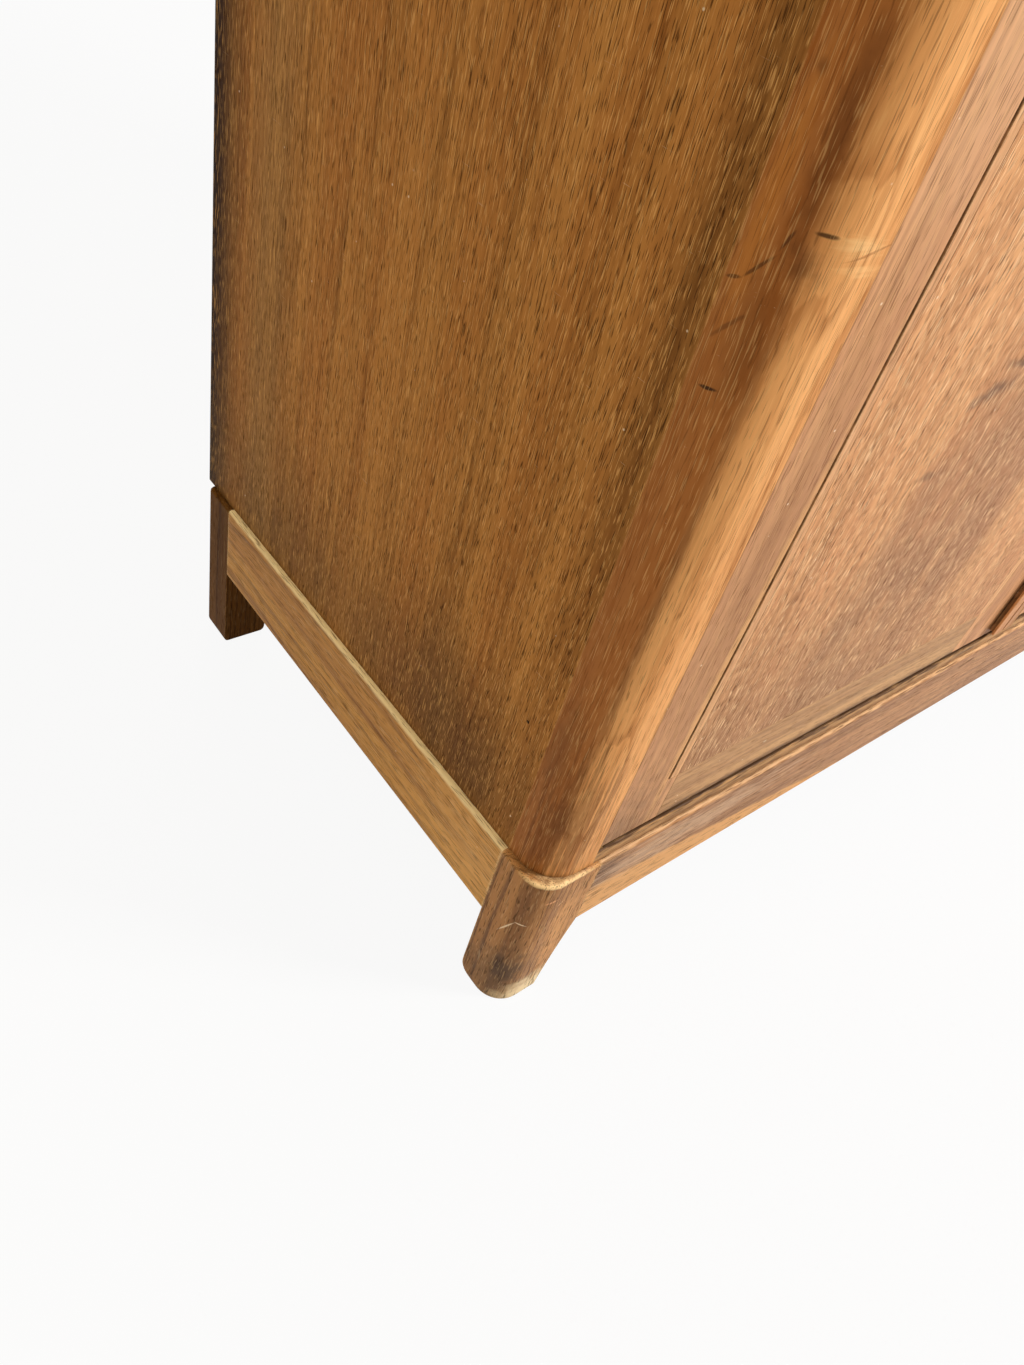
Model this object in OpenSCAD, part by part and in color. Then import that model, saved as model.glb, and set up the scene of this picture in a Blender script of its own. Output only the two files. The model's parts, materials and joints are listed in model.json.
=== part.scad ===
// Free-standing display cabinet: legged base frame, framed cupboard doors below, sliding glass above.
// Millimetres, +Z up. X runs across the front, -Y is the front, and Z = 0 is the floor.

/* [Overall] */
// Width over the base frame
overall_w = 920; // [800:1:1100]
// Depth of the base frame, over its legs
base_d = 384; // [340:0.5:440]
// How far the carcass stands out behind the rear legs, to clear a skirting board
rear_overhang = 10; // [4:0.5:25]

/* [Base frame] */
// Height of the base frame
base_h = 126; // [100:1:160]
// Height of the rails between the legs
rail_h = 58; // [45:1:70]
// Thickness of the rails
rail_t = 20; // [16:1:26]
// Width of a leg across the front
leg_w = 45; // [38:1:55]
// Depth of a front leg along the side
leg_d = 34.4; // [30:0.1:45]
// Depth of a rear leg along the side
rear_leg_d = 30; // [22:1:34]
// How much a leg narrows on its inner side, from the rail down to the floor
leg_taper = 12; // [4:1:18]
// How far that side is hollowed between its ends
leg_hollow = 1.1; // [0.4:0.1:2]
// Radius of the front corners in plan
leg_corner_r = 18; // [10:0.5:22]
// Radius of the rear corners in plan
rear_corner_r = 4; // [3.8:0.1:6]
// Rounding along the top edge of the base frame
rim_r = 2.4; // [1.5:0.1:2.5]
// Rounding under the feet
foot_r = 3.2; // [1:0.1:3.6]
// Rounding of the rear lower edge of the front feet
foot_back_r = 8; // [4:0.5:12]
// Rounding along the lower outer edge of the rails
rail_arris = 1; // [0.5:0.1:2]
// Length of the corner blocks past a leg, along each rail
block_reach = 46; // [40:1:56]
// Height of the corner blocks
block_h = 34; // [26:1:40]
// Distance from a leg's inner faces to the screw in its block
block_screw_inset = 6.5; // [5:0.5:8]

/* [Carcass] */
// Step from the base frame's side to the carcass
side_inset = 4.1; // [3.2:0.1:6]
// Step from the base frame's front to the corner posts
front_inset = 2.7; // [2.6:0.1:5]
// Width of a corner post across the front
post_w = 35.5; // [32:0.5:44]
// Depth of a corner post along the side
post_d = 31; // [30:0.5:40]
// Radius of a corner post's outer corner
post_corner_r = 23.6; // [18:0.1:26]
// Thickness of the side panels
side_t = 18; // [16:1:22]
// Radius of a side panel's rear edge
side_rear_r = 4; // [2:0.5:6]
// Thickness of the tongue that joins a side panel to its post
tongue_t = 6; // [4:0.5:8]
// Length of that tongue
tongue_l = 6; // [4:0.5:7]
// Thickness of the bottom board
board_t = 18; // [15:1:22]
// Thickness of the bottom board's lip under the doors
lip_t = 9.5; // [8:0.5:11]
// Thickness of the board between the cupboard and the display space
mid_t = 22; // [18:1:28]
// Rounding along the boards' front edges and under the head rail
board_arris = 1.5; // [0.5:0.1:1.8]
// Height of the display space
display_h = 660; // [500:1:760]
// Thickness of the top
top_t = 22; // [18:1:28]
// Rounding along the upper edge of the top
top_edge_r = 6; // [3:0.5:7]
// Thickness of the back panels
back_t = 6; // [4:0.5:8]
// How far the back panels reach into the side panels
back_rebate = 8; // [5:0.5:10]

/* [Cupboard doors] */
// Height of a door
door_h = 580; // [480:1:660]
// Thickness of a door
door_t = 20; // [18:0.5:23]
// How far the doors lie behind the posts' faces
door_recess = 1.5; // [0.5:0.1:3]
// Gap between a door and its post
hinge_gap = 1; // [0.8:0.1:1.5]
// Gap under and over a door
door_gap = 2.5; // [2:0.1:3]
// Gap where the two doors meet
meeting_gap = 1.5; // [1:0.1:2.5]
// Clearance between a closed door and its stop
stop_clearance = 1; // [0.5:0.1:2]
// Depth of the stop under the middle board
stop_d = 24; // [18:1:32]
// Width of the stile at the hinges
stile_w = 45.3; // [40:0.1:55]
// Width of the meeting stile beside its pull
meeting_face_w = 46.3; // [40:0.1:55]
// Height of the door rails
door_rail_h = 46; // [40:0.5:55]
// Width of the step in the frame that holds the panel
rebate_w = 8.2; // [6:0.1:10]
// Depth of that step, which is the panel's thickness
rebate_d = 9.5; // [8:0.1:11]
// Shrinkage gap beside the panel, on the hinge side
panel_gap = 2.1; // [0.8:0.1:3]
// Gap on the panel's other sides
panel_fit = 0.3; // [0.2:0.1:0.6]
// Length of the tenons on the door rails
tenon_l = 28; // [20:1:34]
// Thickness of those tenons
tenon_t = 6; // [5:0.5:7]
// Shoulder above and below a tenon
tenon_shoulder = 10; // [9:1:14]
// Width of the full-height pull on a door's meeting edge
pull_w = 13.5; // [11:0.5:18]
// Thickness of the pull, in front of the door
pull_t = 5.7; // [4.5:0.1:8]
// How far the pull stops short of the door's ends
pull_short = 4.1; // [3:0.1:8]
// Rounding on the pull's front edges
pull_arris = 1; // [0.5:0.1:1.5]
// Thickness of the pull's lip, in front of its finger groove
pull_lip = 1.9; // [1.6:0.1:2.5]
// Depth of the finger groove behind that lip
pull_groove = 4; // [3:0.5:6]

/* [Door fittings] */
// Distance from a door's edge and face to its pivot
pivot_inset = 3.2; // [3:0.1:4]
// Radius of a pivot pin
pivot_r = 1.5; // [1.2:0.1:1.8]
// Radial clearance of a pivot pin
pivot_clearance = 0.08; // [0.05:0.01:0.1]
// How far a pin reaches past the door's plate
pivot_tip = 4; // [2:0.5:7]
// How much wider and deeper than the pin its hole in the stile is
pivot_relief = 0.6; // [0.3:0.1:0.9]
// Thickness of the pivot plates
plate_t = 2; // [1.5:0.1:2.5]
// Length of the pivot plates
plate_l = 34; // [26:1:38]
// Width of the pivot plates
plate_w = 9; // [7:0.5:10]
// Radius of the collar that a door rides on
collar_r = 2.8; // [2.4:0.1:2.9]
// Running gap between a collar and a door's plate
collar_gap = 0.3; // [0.2:0.05:0.4]
// Width of a door catch
catch_w = 34; // [26:1:44]
// Depth of a door catch, behind its pole faces
catch_d = 16; // [12:1:17]
// Height of a door catch
catch_h = 10; // [8:0.5:14]
// How far the catch's pole plates stand out of its case
pole_out = 0.8; // [0.4:0.1:1.5]
// Width of the two pole plates
pole_w = 20; // [16:1:24]
// Thickness of a pole plate
pole_t = 2; // [1:0.1:2.2]
// Gap between the pole plates
pole_gap = 2; // [1:0.1:3]
// Thickness of the steel plates on the doors that the catches hold
keeper_t = 1; // [0.6:0.1:1.2]
// Gap between a closed door's plate and its catch
keeper_gap = 0.2; // [0.1:0.05:0.3]
// Distance from a door's meeting edge to its catch
catch_inset = 34; // [28:1:60]

/* [Sliding glass] */
// Thickness of a sliding pane
pane_t = 5; // [4:0.5:6]
// Overlap of the two closed panes
pane_overlap = 22; // [14:1:40]
// Clearance between a closed pane and its post
pane_end_gap = 1; // [0.5:0.1:2]
// Clearance on each side of a pane in its groove
groove_clearance = 0.5; // [0.4:0.1:0.8]
// Width of the walls beside and between the grooves
groove_wall = 4; // [3.4:0.1:4.4]
// Height of the runner under the panes
runner_h = 10; // [8:0.5:14]
// Depth of the runner's grooves
runner_groove = 7; // [5:0.5:7.5]
// Height of the head rail over the panes
head_h = 34; // [28:1:44]
// Depth of the head rail's grooves
head_groove = 16; // [13:0.5:20]
// How far a pane reaches into the head rail
pane_engage = 8; // [6:0.5:8.5]
// Gap under a pane in its groove
pane_seat_gap = 0.2; // [0.1:0.1:0.3]
// Radius of the ground finger grip in a pane
grip_r = 11; // [8:0.5:14]
// Depth of the finger grip
grip_depth = 1.6; // [1:0.1:2]
// Distance from the grip's centre to the pane's outer edge
grip_inset = 38; // [28:1:60]

/* [Shelves] */
// Thickness of a glass shelf
glass_shelf_t = 6; // [5:0.5:8]
// Thickness of the cupboard shelf
wood_shelf_t = 18; // [15:1:22]
// Height of the cupboard shelf's underside over the bottom board
wood_shelf_h = 276; // [200:1:330]
// Clearance at a shelf's ends
shelf_end_gap = 2; // [1.5:0.1:4]
// Distance from the posts back to a glass shelf's front edge
glass_shelf_setback = 8; // [5:1:40]
// Distance from the posts back to the cupboard shelf's front edge
wood_shelf_setback = 30; // [25:1:60]
// Gap between a shelf and the back
shelf_back_gap = 3; // [1:0.5:10]
// Radius of a shelf peg
peg_r = 2.5; // [2:0.25:3]
// Depth of a peg's hole
peg_hole = 10; // [8:0.5:12]
// How far a peg stands out under a shelf
peg_out = 9; // [7:0.5:12]
// Radius of a peg's collar
peg_collar_r = 4.5; // [3.5:0.5:6]
// Thickness of that collar
peg_collar_t = 1; // [0.6:0.1:1.3]
// Spacing of the peg holes
peg_pitch = 32; // [20:1:40]
// Distance from the shelves' edges to the pegs
peg_inset = 40; // [30:1:70]

/* [Screws] */
// Radius of the screws that hold the base frame to the carcass
screw_r = 2.2; // [1.8:0.1:2.6]
// Radius of their heads
screw_head_r = 4.4; // [3.8:0.1:5]
// Height of their countersunk heads
screw_head_h = 2.6; // [2:0.1:3]
// How far they reach into the bottom board
screw_bite = 12; // [8:0.5:13]

/* [Hidden] */
$fn = 64;
// Facets of a circle that is much larger than the piece it shapes
fine_fn = 720;
// Facets of the sphere that grinds a pane's finger grip
grip_fn = 360;
// Bays that the glass shelves part the display space into
display_bays = 3;
// Overshoot that keeps a cut clear of the face it opens
cut = 1;

// The base frame: how far the pulls stand in front of it, its sides, front and back
pull_out = max(0, pull_t - front_inset - door_recess);
half_w = overall_w / 2;
front_y = (pull_out - base_d - rear_overhang) / 2;
leg_back_y = front_y + base_d;
rail_z = base_h - rail_h;
block_z = base_h - block_h;

// The carcass: the outer face of its side, the front of its posts and the faces behind them
back_y = leg_back_y + rear_overhang;
back_in_y = back_y - back_t;
side_x = half_w - side_inset;
side_in_x = side_x - side_t;
post_in_x = side_x - post_w;
opening_w = 2 * post_in_x;
post_y = front_y + front_inset;
post_back_y = post_y + post_d;
door_y = post_y + door_recess;
door_back_y = door_y + door_t;
stop_y = door_back_y + stop_clearance;
stop_h = board_t - lip_t;

// Heights, from the floor up
lip_z = base_h + lip_t;
floor_z = base_h + board_t;
door_z = lip_z + door_gap;
door_top_z = door_z + door_h;
mid_z = door_top_z + door_gap;
mid_top_z = mid_z + mid_t;
top_z = mid_top_z + display_h;
overall_h = top_z + top_t;

// The left door: its edges, its frame's opening, its panel and its fittings
door_x0 = -post_in_x + hinge_gap;
door_x1 = -meeting_gap / 2;
pull_x0 = door_x1 - pull_w;
frame_x0 = door_x0 + stile_w;
frame_x1 = pull_x0 - meeting_face_w;
frame_z0 = door_z + door_rail_h;
frame_z1 = door_top_z - door_rail_h;
panel_x0 = frame_x0 - rebate_w + panel_gap;
panel_x1 = frame_x1 + rebate_w - panel_fit;
panel_z0 = frame_z0 - rebate_w + panel_fit;
panel_z1 = frame_z1 + rebate_w - panel_fit;
tenon_y = door_y + (rebate_d + door_t - tenon_t) / 2;
pivot_x = door_x0 + pivot_inset;
pivot_y = door_y + pivot_inset;
plate_y = (pivot_y + door_back_y) / 2;
catch_x = door_x1 - catch_inset;
catch_y = door_back_y + keeper_t + keeper_gap;
catch_z = mid_z - stop_h - catch_h;

// The sliding glass: the runner, the grooves and the panes
groove_w = pane_t + 2 * groove_clearance;
runner_d = 2 * groove_w + 3 * groove_wall;
runner_y = post_y + (post_d - runner_d) / 2;
front_groove_y = runner_y + groove_wall;
rear_groove_y = front_groove_y + groove_w + groove_wall;
pane_w = post_in_x - pane_end_gap + pane_overlap / 2;
pane_z = mid_top_z + runner_h - runner_groove + pane_seat_gap;
head_z = top_z - head_h;
pane_top_z = head_z + pane_engage;
grip_sphere_r = (grip_r * grip_r + grip_depth * grip_depth) / (2 * grip_depth);

// The shelves: each height is that of the shelf's underside, where its pegs hold it
shelf_x = side_in_x - shelf_end_gap;
shelf_back_y = back_in_y - shelf_back_gap;
glass_shelf_y = post_back_y + glass_shelf_setback;
wood_shelf_y = post_back_y + wood_shelf_setback;
wood_shelf_z = floor_z + wood_shelf_h;
glass_shelf_zs = [for (i = [1 : display_bays - 1]) mid_top_z + display_h * i / display_bays];
peg_ys = [wood_shelf_y + peg_inset, shelf_back_y - peg_inset];

// Draws its children as they are, which is on the left, or their mirror image on the right
module on_side(right) {
  mirror([right ? 1 : 0, 0, 0]) children();
}

module on_both_sides() {
  for (right = [false, true]) on_side(right) children();
}

// Draws its children at the doors' lower ends, and their mirror image at the upper ends
module at_door_ends() {
  children();
  translate([0, 0, door_z + door_top_z]) mirror([0, 0, 1]) children();
}

// The first child at each front corner of the base frame, and the second at each rear one
module at_corners() {
  on_both_sides() {
    translate([-half_w, front_y, 0]) children(0);
    translate([-half_w, leg_back_y, 0]) mirror([0, 1, 0]) children(1);
  }
}

// A rectangle with one corner at the origin, rounded there by a radius
module corner_outline(w, d, r) {
  translate([r, 0]) square([w - r, d]);
  translate([0, r]) square([w, d - r]);
  intersection() {
    translate([r, r]) circle(r);
    square(r);
  }
}

// The sliver outside a rounded edge at the origin, with the wood up and to the right of it
module arris(r) {
  difference() {
    translate([-cut, -cut]) square(r + cut);
    translate([r, r]) circle(r);
  }
}

// The cut that rounds an edge from the origin along +Y, under the wood or over it
module edge_cut(r, length, over) {
  translate([0, length, 0])
    rotate([90, 0, 0])
      linear_extrude(length) mirror([0, over ? 1 : 0]) arris(r);
}

// The same cut round a corner of radius corner_r, from its centre at the origin
module corner_cut(r, corner_r, over) {
  rotate([0, 0, 180])
    rotate_extrude(angle = 90)
      translate([corner_r, 0]) mirror([1, 0]) mirror([0, over ? 1 : 0]) arris(r);
}

// Rounds the outer edges of what has its corner at the origin: along +Y, the corner and along +X
module outer_cuts(r, w, d, corner_r, over) {
  translate([0, corner_r, 0]) edge_cut(r, d - corner_r, over);
  translate([corner_r, corner_r, 0]) corner_cut(r, corner_r, over);
  translate([corner_r, 0, 0]) mirror([1, -1, 0]) edge_cut(r, w - corner_r, over);
}

// What a leg's taper takes away, in the plane of its front: a straight slope, hollowed by an arc
module taper_cut() {
  slope = norm([leg_taper, rail_z]);
  arc_r = (slope * slope / 4 + leg_hollow * leg_hollow) / (2 * leg_hollow);
  middle = [leg_w - leg_taper / 2, rail_z / 2];
  away = [rail_z, -leg_taper] / slope;
  intersection() {
    translate(middle + away * (arc_r - leg_hollow)) circle(arc_r, $fn = fine_fn);
    translate([0, -cut]) square([leg_w + cut, rail_z + cut]);
  }
}

// A left leg, from its outer corner at the origin; a rear one is drawn front to back
module leg(d, corner_r) {
  difference() {
    linear_extrude(base_h) corner_outline(leg_w, d, corner_r);
    outer_cuts(foot_r, leg_w, d, corner_r, false);
    translate([0, 0, base_h]) outer_cuts(rim_r, leg_w, d, corner_r, true);
    translate([0, d + cut, 0]) rotate([90, 0, 0]) linear_extrude(d + 2 * cut) taper_cut();
  }
}

module front_leg(right) {
  color([0.44, 0.30, 0.18])
    on_side(right)
      translate([-half_w, front_y, 0])
        difference() {
          leg(leg_d, leg_corner_r);
          translate([-cut, leg_d, 0])
            rotate([0, 0, -90]) edge_cut(foot_back_r, leg_w + 2 * cut, false);
        }
}

module rear_leg(right) {
  color([0.36, 0.25, 0.14])
    on_side(right)
      translate([-half_w, leg_back_y, 0]) mirror([0, 1, 0]) leg(rear_leg_d, rear_corner_r);
}

// A rail from the origin along +Y, with its outer face on the plane X = 0
module rail(length) {
  difference() {
    translate([0, 0, rail_z]) cube([rail_t, length, rail_h]);
    translate([0, 0, rail_z]) edge_cut(rail_arris, length, false);
    translate([0, 0, base_h]) edge_cut(rim_r, length, true);
  }
}

module side_rail(right) {
  color([0.64, 0.46, 0.26])
    on_side(right)
      translate([-half_w, front_y + leg_d, 0]) rail(base_d - leg_d - rear_leg_d);
}

module front_rail() {
  color([0.65, 0.47, 0.31])
    translate([leg_w - half_w, front_y, 0])
      mirror([1, -1, 0]) rail(overall_w - 2 * leg_w);
}

module rear_rail() {
  color([0.55, 0.40, 0.27])
    translate([leg_w - half_w, leg_back_y, 0])
      mirror([0, 1, 0]) mirror([1, -1, 0]) rail(overall_w - 2 * leg_w);
}

// A countersunk screw that comes up through a corner block behind a leg of depth d
module block_screw(d) {
  translate([leg_w + block_screw_inset, d + block_screw_inset, block_z]) {
    cylinder(h = screw_head_h, r1 = screw_head_r, r2 = screw_r);
    cylinder(h = block_h + screw_bite, r = screw_r);
  }
}

// A glued block in the corner behind a leg of depth d, from the leg's outer corner at the origin
module corner_block(d) {
  difference() {
    translate([0, 0, block_z])
      linear_extrude(block_h)
        polygon([[rail_t, d], [leg_w, d], [leg_w, rail_t], [leg_w + block_reach, rail_t],
                 [rail_t, d + block_reach]]);
    block_screw(d);
  }
}

module corner_blocks() {
  color([0.72, 0.56, 0.36])
    at_corners() {
      corner_block(leg_d);
      corner_block(rear_leg_d);
    }
}

module base_screws() {
  color([0.72, 0.68, 0.60])
    at_corners() {
      block_screw(leg_d);
      block_screw(rear_leg_d);
    }
}

// A corner post, rounded outside and grooved behind for the side panel's tongue
module post(right) {
  color([0.80, 0.55, 0.31])
    on_side(right)
      translate([-side_x, post_y, base_h])
        linear_extrude(top_z - base_h)
          difference() {
            corner_outline(post_w, post_d, post_corner_r);
            translate([(side_t - tongue_t) / 2, post_d - tongue_l])
              square([tongue_t, tongue_l + cut]);
          }
}

// A side panel in plan, from the post's joint back to its rounded and rebated rear edge
module side_outline() {
  length = back_y - post_back_y;
  difference() {
    union() {
      translate([0, length]) mirror([0, 1]) corner_outline(side_t, length, side_rear_r);
      translate([(side_t - tongue_t) / 2, -tongue_l]) square([tongue_t, tongue_l + cut]);
    }
    translate([side_t - back_rebate, length - back_t]) square([back_rebate + cut, back_t + cut]);
  }
}

// The peg holes under a shelf at height z in a left side panel, with spare holes below and above
module peg_holes(z) {
  for (y = peg_ys, step = [-1 : 1])
    translate([cut - side_in_x, y, z - peg_r + step * peg_pitch])
      rotate([0, -90, 0]) cylinder(h = peg_hole + cut, r = peg_r);
}

module side_panel(right) {
  color([0.55, 0.36, 0.18])
    on_side(right)
      difference() {
        translate([-side_x, post_back_y, base_h]) linear_extrude(top_z - base_h) side_outline();
        for (z = concat(glass_shelf_zs, wood_shelf_z)) peg_holes(z);
      }
}

// A board between the side panels, from the posts' backs to the back panel
module wide_board(z, t) {
  translate([-side_in_x, post_back_y, z]) cube([2 * side_in_x, back_in_y - post_back_y, t]);
}

// A board between the posts, from the plane y back over a depth
module narrow_board(y, z, d, t) {
  translate([-post_in_x, y, z]) cube([opening_w, d, t]);
}

// The cut that rounds a front edge between the posts, at height z, under the wood or over it
module front_edge_cut(z, over) {
  translate([-post_in_x - cut, post_y, z])
    mirror([1, -1, 0]) edge_cut(board_arris, opening_w + 2 * cut, over);
}

// The floor of the cupboard, stepped down under the doors so that they close against the step
module bottom_board() {
  color([0.60, 0.44, 0.28])
    difference() {
      union() {
        wide_board(base_h, board_t);
        narrow_board(stop_y, base_h, post_back_y - stop_y, board_t);
        narrow_board(post_y, base_h, post_d, lip_t);
      }
      front_edge_cut(lip_z, true);
      on_both_sides() translate([0, 0, lip_z - plate_t]) plate_blank(plate_t + cut);
      at_corners() {
        block_screw(leg_d);
        block_screw(rear_leg_d);
      }
    }
}

module middle_board() {
  color([0.62, 0.44, 0.27])
    difference() {
      union() {
        wide_board(mid_z, mid_t);
        narrow_board(post_y, mid_z, post_d, mid_t);
      }
      front_edge_cut(mid_z, false);
      front_edge_cut(mid_top_z, true);
      on_both_sides() translate([0, 0, mid_z - cut]) plate_blank(plate_t + cut);
    }
}

// The batten under the middle board that the doors close against
module door_stop() {
  color([0.62, 0.46, 0.29]) narrow_board(stop_y, mid_z - stop_h, stop_d, stop_h);
}

// The two grooves that the panes run in, from a height up
module pane_grooves(z, h) {
  for (y = [front_groove_y, rear_groove_y])
    translate([-post_in_x - cut, y, z]) cube([opening_w + 2 * cut, groove_w, h]);
}

module glass_runner() {
  color([0.56, 0.40, 0.25])
    difference() {
      narrow_board(runner_y, mid_top_z, runner_d, runner_h);
      pane_grooves(mid_top_z + runner_h - runner_groove, runner_groove + cut);
    }
}

module head_rail() {
  color([0.62, 0.44, 0.27])
    difference() {
      narrow_board(post_y, head_z, post_d, head_h);
      front_edge_cut(head_z, false);
      pane_grooves(head_z - cut, head_groove + cut);
    }
}

// The left half of the top in plan, from its front corner at the origin
module top_half_outline() {
  length = back_y - front_y;
  intersection() {
    corner_outline(half_w, length, leg_corner_r);
    translate([0, length]) mirror([0, 1]) corner_outline(half_w, length, rear_corner_r);
  }
}

// The top, which lies on the whole carcass and stands out over it as the base frame does
module top() {
  length = back_y - front_y;
  color([0.60, 0.41, 0.22])
    on_both_sides()
      translate([-half_w, front_y, top_z])
        difference() {
          linear_extrude(top_t) top_half_outline();
          outer_cuts(rim_r, half_w, length, leg_corner_r, false);
          translate([0, 0, top_t]) outer_cuts(top_edge_r, half_w, length, leg_corner_r, true);
        }
}

// A back panel let into the side panels, between two heights
module back_panel(z0, z1) {
  x = side_in_x + back_rebate;
  color([0.66, 0.50, 0.32])
    translate([-x, back_in_y, z0]) cube([2 * x, back_t, z1 - z0]);
}

// A pivot plate and the recess for it: a nose round the pin, and a tail along the door's thickness
module plate_blank(t) {
  tail_end = pivot_x - collar_r + plate_l - plate_w / 2;
  linear_extrude(t) {
    translate([pivot_x, pivot_y]) circle(collar_r);
    translate([pivot_x - collar_r, pivot_y]) square([2 * collar_r, plate_y - pivot_y]);
    translate([pivot_x - collar_r, plate_y - plate_w / 2])
      square([tail_end - pivot_x + collar_r, plate_w]);
    translate([tail_end, plate_y]) circle(plate_w / 2);
  }
}

// The pivots let into the boards: plate, collar and pin, at both ends of both doors
module cabinet_pivots() {
  color([0.80, 0.65, 0.32])
    on_both_sides()
      at_door_ends() {
        translate([0, 0, lip_z - plate_t]) plate_blank(plate_t);
        translate([pivot_x, pivot_y, lip_z - plate_t]) {
          cylinder(h = plate_t + door_gap - collar_gap, r = collar_r);
          cylinder(h = plate_t + door_gap + plate_t + pivot_tip, r = pivot_r);
        }
      }
}

module door_pivot_plates(right) {
  color([0.80, 0.65, 0.32])
    on_side(right)
      at_door_ends()
        difference() {
          translate([0, 0, door_z]) plate_blank(plate_t);
          translate([pivot_x, pivot_y, door_z - cut])
            cylinder(h = plate_t + 2 * cut, r = pivot_r + pivot_clearance);
        }
}

// The step round the door frame's opening that the panel lies in, open to the front
module panel_rebate() {
  translate([frame_x0 - rebate_w, door_y - cut, frame_z0 - rebate_w])
    cube([frame_x1 - frame_x0 + 2 * rebate_w, rebate_d + cut, frame_z1 - frame_z0 + 2 * rebate_w]);
}

// A tenon of the left door's rails, drawn at the lower rail
module tenon(x) {
  translate([x, tenon_y, door_z + tenon_shoulder])
    cube([tenon_l, tenon_t, door_rail_h - 2 * tenon_shoulder]);
}

// The stile at the hinges: round over the pivots, so that it turns clear of the post
module hinge_stile(right) {
  color([0.80, 0.60, 0.44])
    on_side(right)
      difference() {
        translate([door_x0, door_y, door_z])
          linear_extrude(door_h) corner_outline(stile_w, door_t, pivot_inset);
        panel_rebate();
        at_door_ends() {
          tenon(frame_x0 - tenon_l);
          translate([0, 0, door_z - cut]) plate_blank(plate_t + cut);
          translate([pivot_x, pivot_y, door_z])
            cylinder(h = plate_t + pivot_tip + pivot_relief, r = pivot_r + pivot_relief);
        }
      }
}

module meeting_stile(right) {
  color([0.80, 0.60, 0.44])
    on_side(right)
      difference() {
        translate([frame_x1, door_y, door_z]) cube([door_x1 - frame_x1, door_t, door_h]);
        panel_rebate();
        at_door_ends() tenon(frame_x1);
      }
}

// A door rail with its tenons, drawn at the lower end and turned over for the upper one
module door_rail(right, upper) {
  color([0.78, 0.58, 0.41])
    on_side(right)
      translate([0, 0, upper ? door_z + door_top_z : 0])
        mirror([0, 0, upper ? 1 : 0]) {
          difference() {
            translate([frame_x0, door_y, door_z]) cube([frame_x1 - frame_x0, door_t, door_rail_h]);
            panel_rebate();
          }
          tenon(frame_x0 - tenon_l);
          tenon(frame_x1);
        }
}

// A solid lipping on one upright edge of the panel, which hides the core of the veneered panel
module lipping(x, w) {
  translate([x, door_y, panel_z0]) cube([w, rebate_d, panel_z1 - panel_z0]);
}

module door_lippings(right) {
  color([0.84, 0.66, 0.48])
    on_side(right) {
      lipping(panel_x0, frame_x0 - panel_x0);
      lipping(frame_x1, panel_x1 - frame_x1);
    }
}

// The veneered panel, flush with the frame's face
module door_panel(right) {
  color([0.82, 0.61, 0.44])
    on_side(right)
      translate([frame_x0, door_y, panel_z0])
        cube([frame_x1 - frame_x0, rebate_d, panel_z1 - panel_z0]);
}

// The pull in plan: a strip with rounded front edges, undercut on the side away from the gap
module pull_outline() {
  groove_r = (pull_t - pull_lip) / 2;
  difference() {
    union() {
      translate([pull_arris, 0]) square([pull_w - 2 * pull_arris, pull_t]);
      translate([0, pull_arris]) square([pull_w, pull_t - pull_arris]);
      for (x = [pull_arris, pull_w - pull_arris])
        translate([x, pull_arris]) circle(pull_arris);
    }
    translate([pull_groove - groove_r, pull_t - groove_r]) circle(groove_r);
    translate([-cut, pull_lip]) square([pull_groove - groove_r + cut, 2 * groove_r]);
  }
}

module door_pull(right) {
  color([0.78, 0.52, 0.30])
    on_side(right)
      translate([pull_x0, door_y - pull_t, door_z + pull_short])
        linear_extrude(door_h - 2 * pull_short) pull_outline();
}

// The catch that holds a closed door by its plate, under the stop
module door_catches() {
  color([0.30, 0.22, 0.16])
    on_both_sides()
      translate([catch_x - catch_w / 2, catch_y, catch_z]) {
        translate([0, pole_out, 0]) cube([catch_w, catch_d - pole_out, catch_h]);
        for (z = [(catch_h - pole_gap) / 2 - pole_t, (catch_h + pole_gap) / 2])
          translate([(catch_w - pole_w) / 2, 0, z]) cube([pole_w, catch_d, pole_t]);
      }
}

module door_keeper(right) {
  color([0.70, 0.70, 0.68])
    on_side(right)
      translate([catch_x, door_back_y + keeper_t, catch_z + catch_h / 2])
        rotate([90, 0, 0])
          linear_extrude(keeper_t)
            for (side = [-1, 1]) {
              translate([side * catch_w / 4, 0]) circle(catch_h / 2);
              translate([-catch_w / 4, -catch_h / 2]) square([catch_w / 2, catch_h]);
            }
}

// A pane, closed, with a ground hollow near its outer edge to slide it by
module sliding_pane(right) {
  y = (right ? front_groove_y : rear_groove_y) + groove_clearance;
  color([0.75, 0.88, 0.86, 0.4])
    on_side(right)
      translate([pane_end_gap - post_in_x, y, pane_z])
        difference() {
          cube([pane_w, pane_t, pane_top_z - pane_z]);
          translate([grip_inset, grip_depth - grip_sphere_r, (pane_top_z - pane_z) / 2])
            sphere(grip_sphere_r, $fn = grip_fn);
        }
}

module shelf(y, z, t) {
  translate([-shelf_x, y, z]) cube([2 * shelf_x, shelf_back_y - y, t]);
}

module glass_shelf(i) {
  color([0.70, 0.86, 0.82, 0.45]) shelf(glass_shelf_y, glass_shelf_zs[i], glass_shelf_t);
}

module cupboard_shelf() {
  color([0.66, 0.50, 0.33]) shelf(wood_shelf_y, wood_shelf_z, wood_shelf_t);
}

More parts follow.
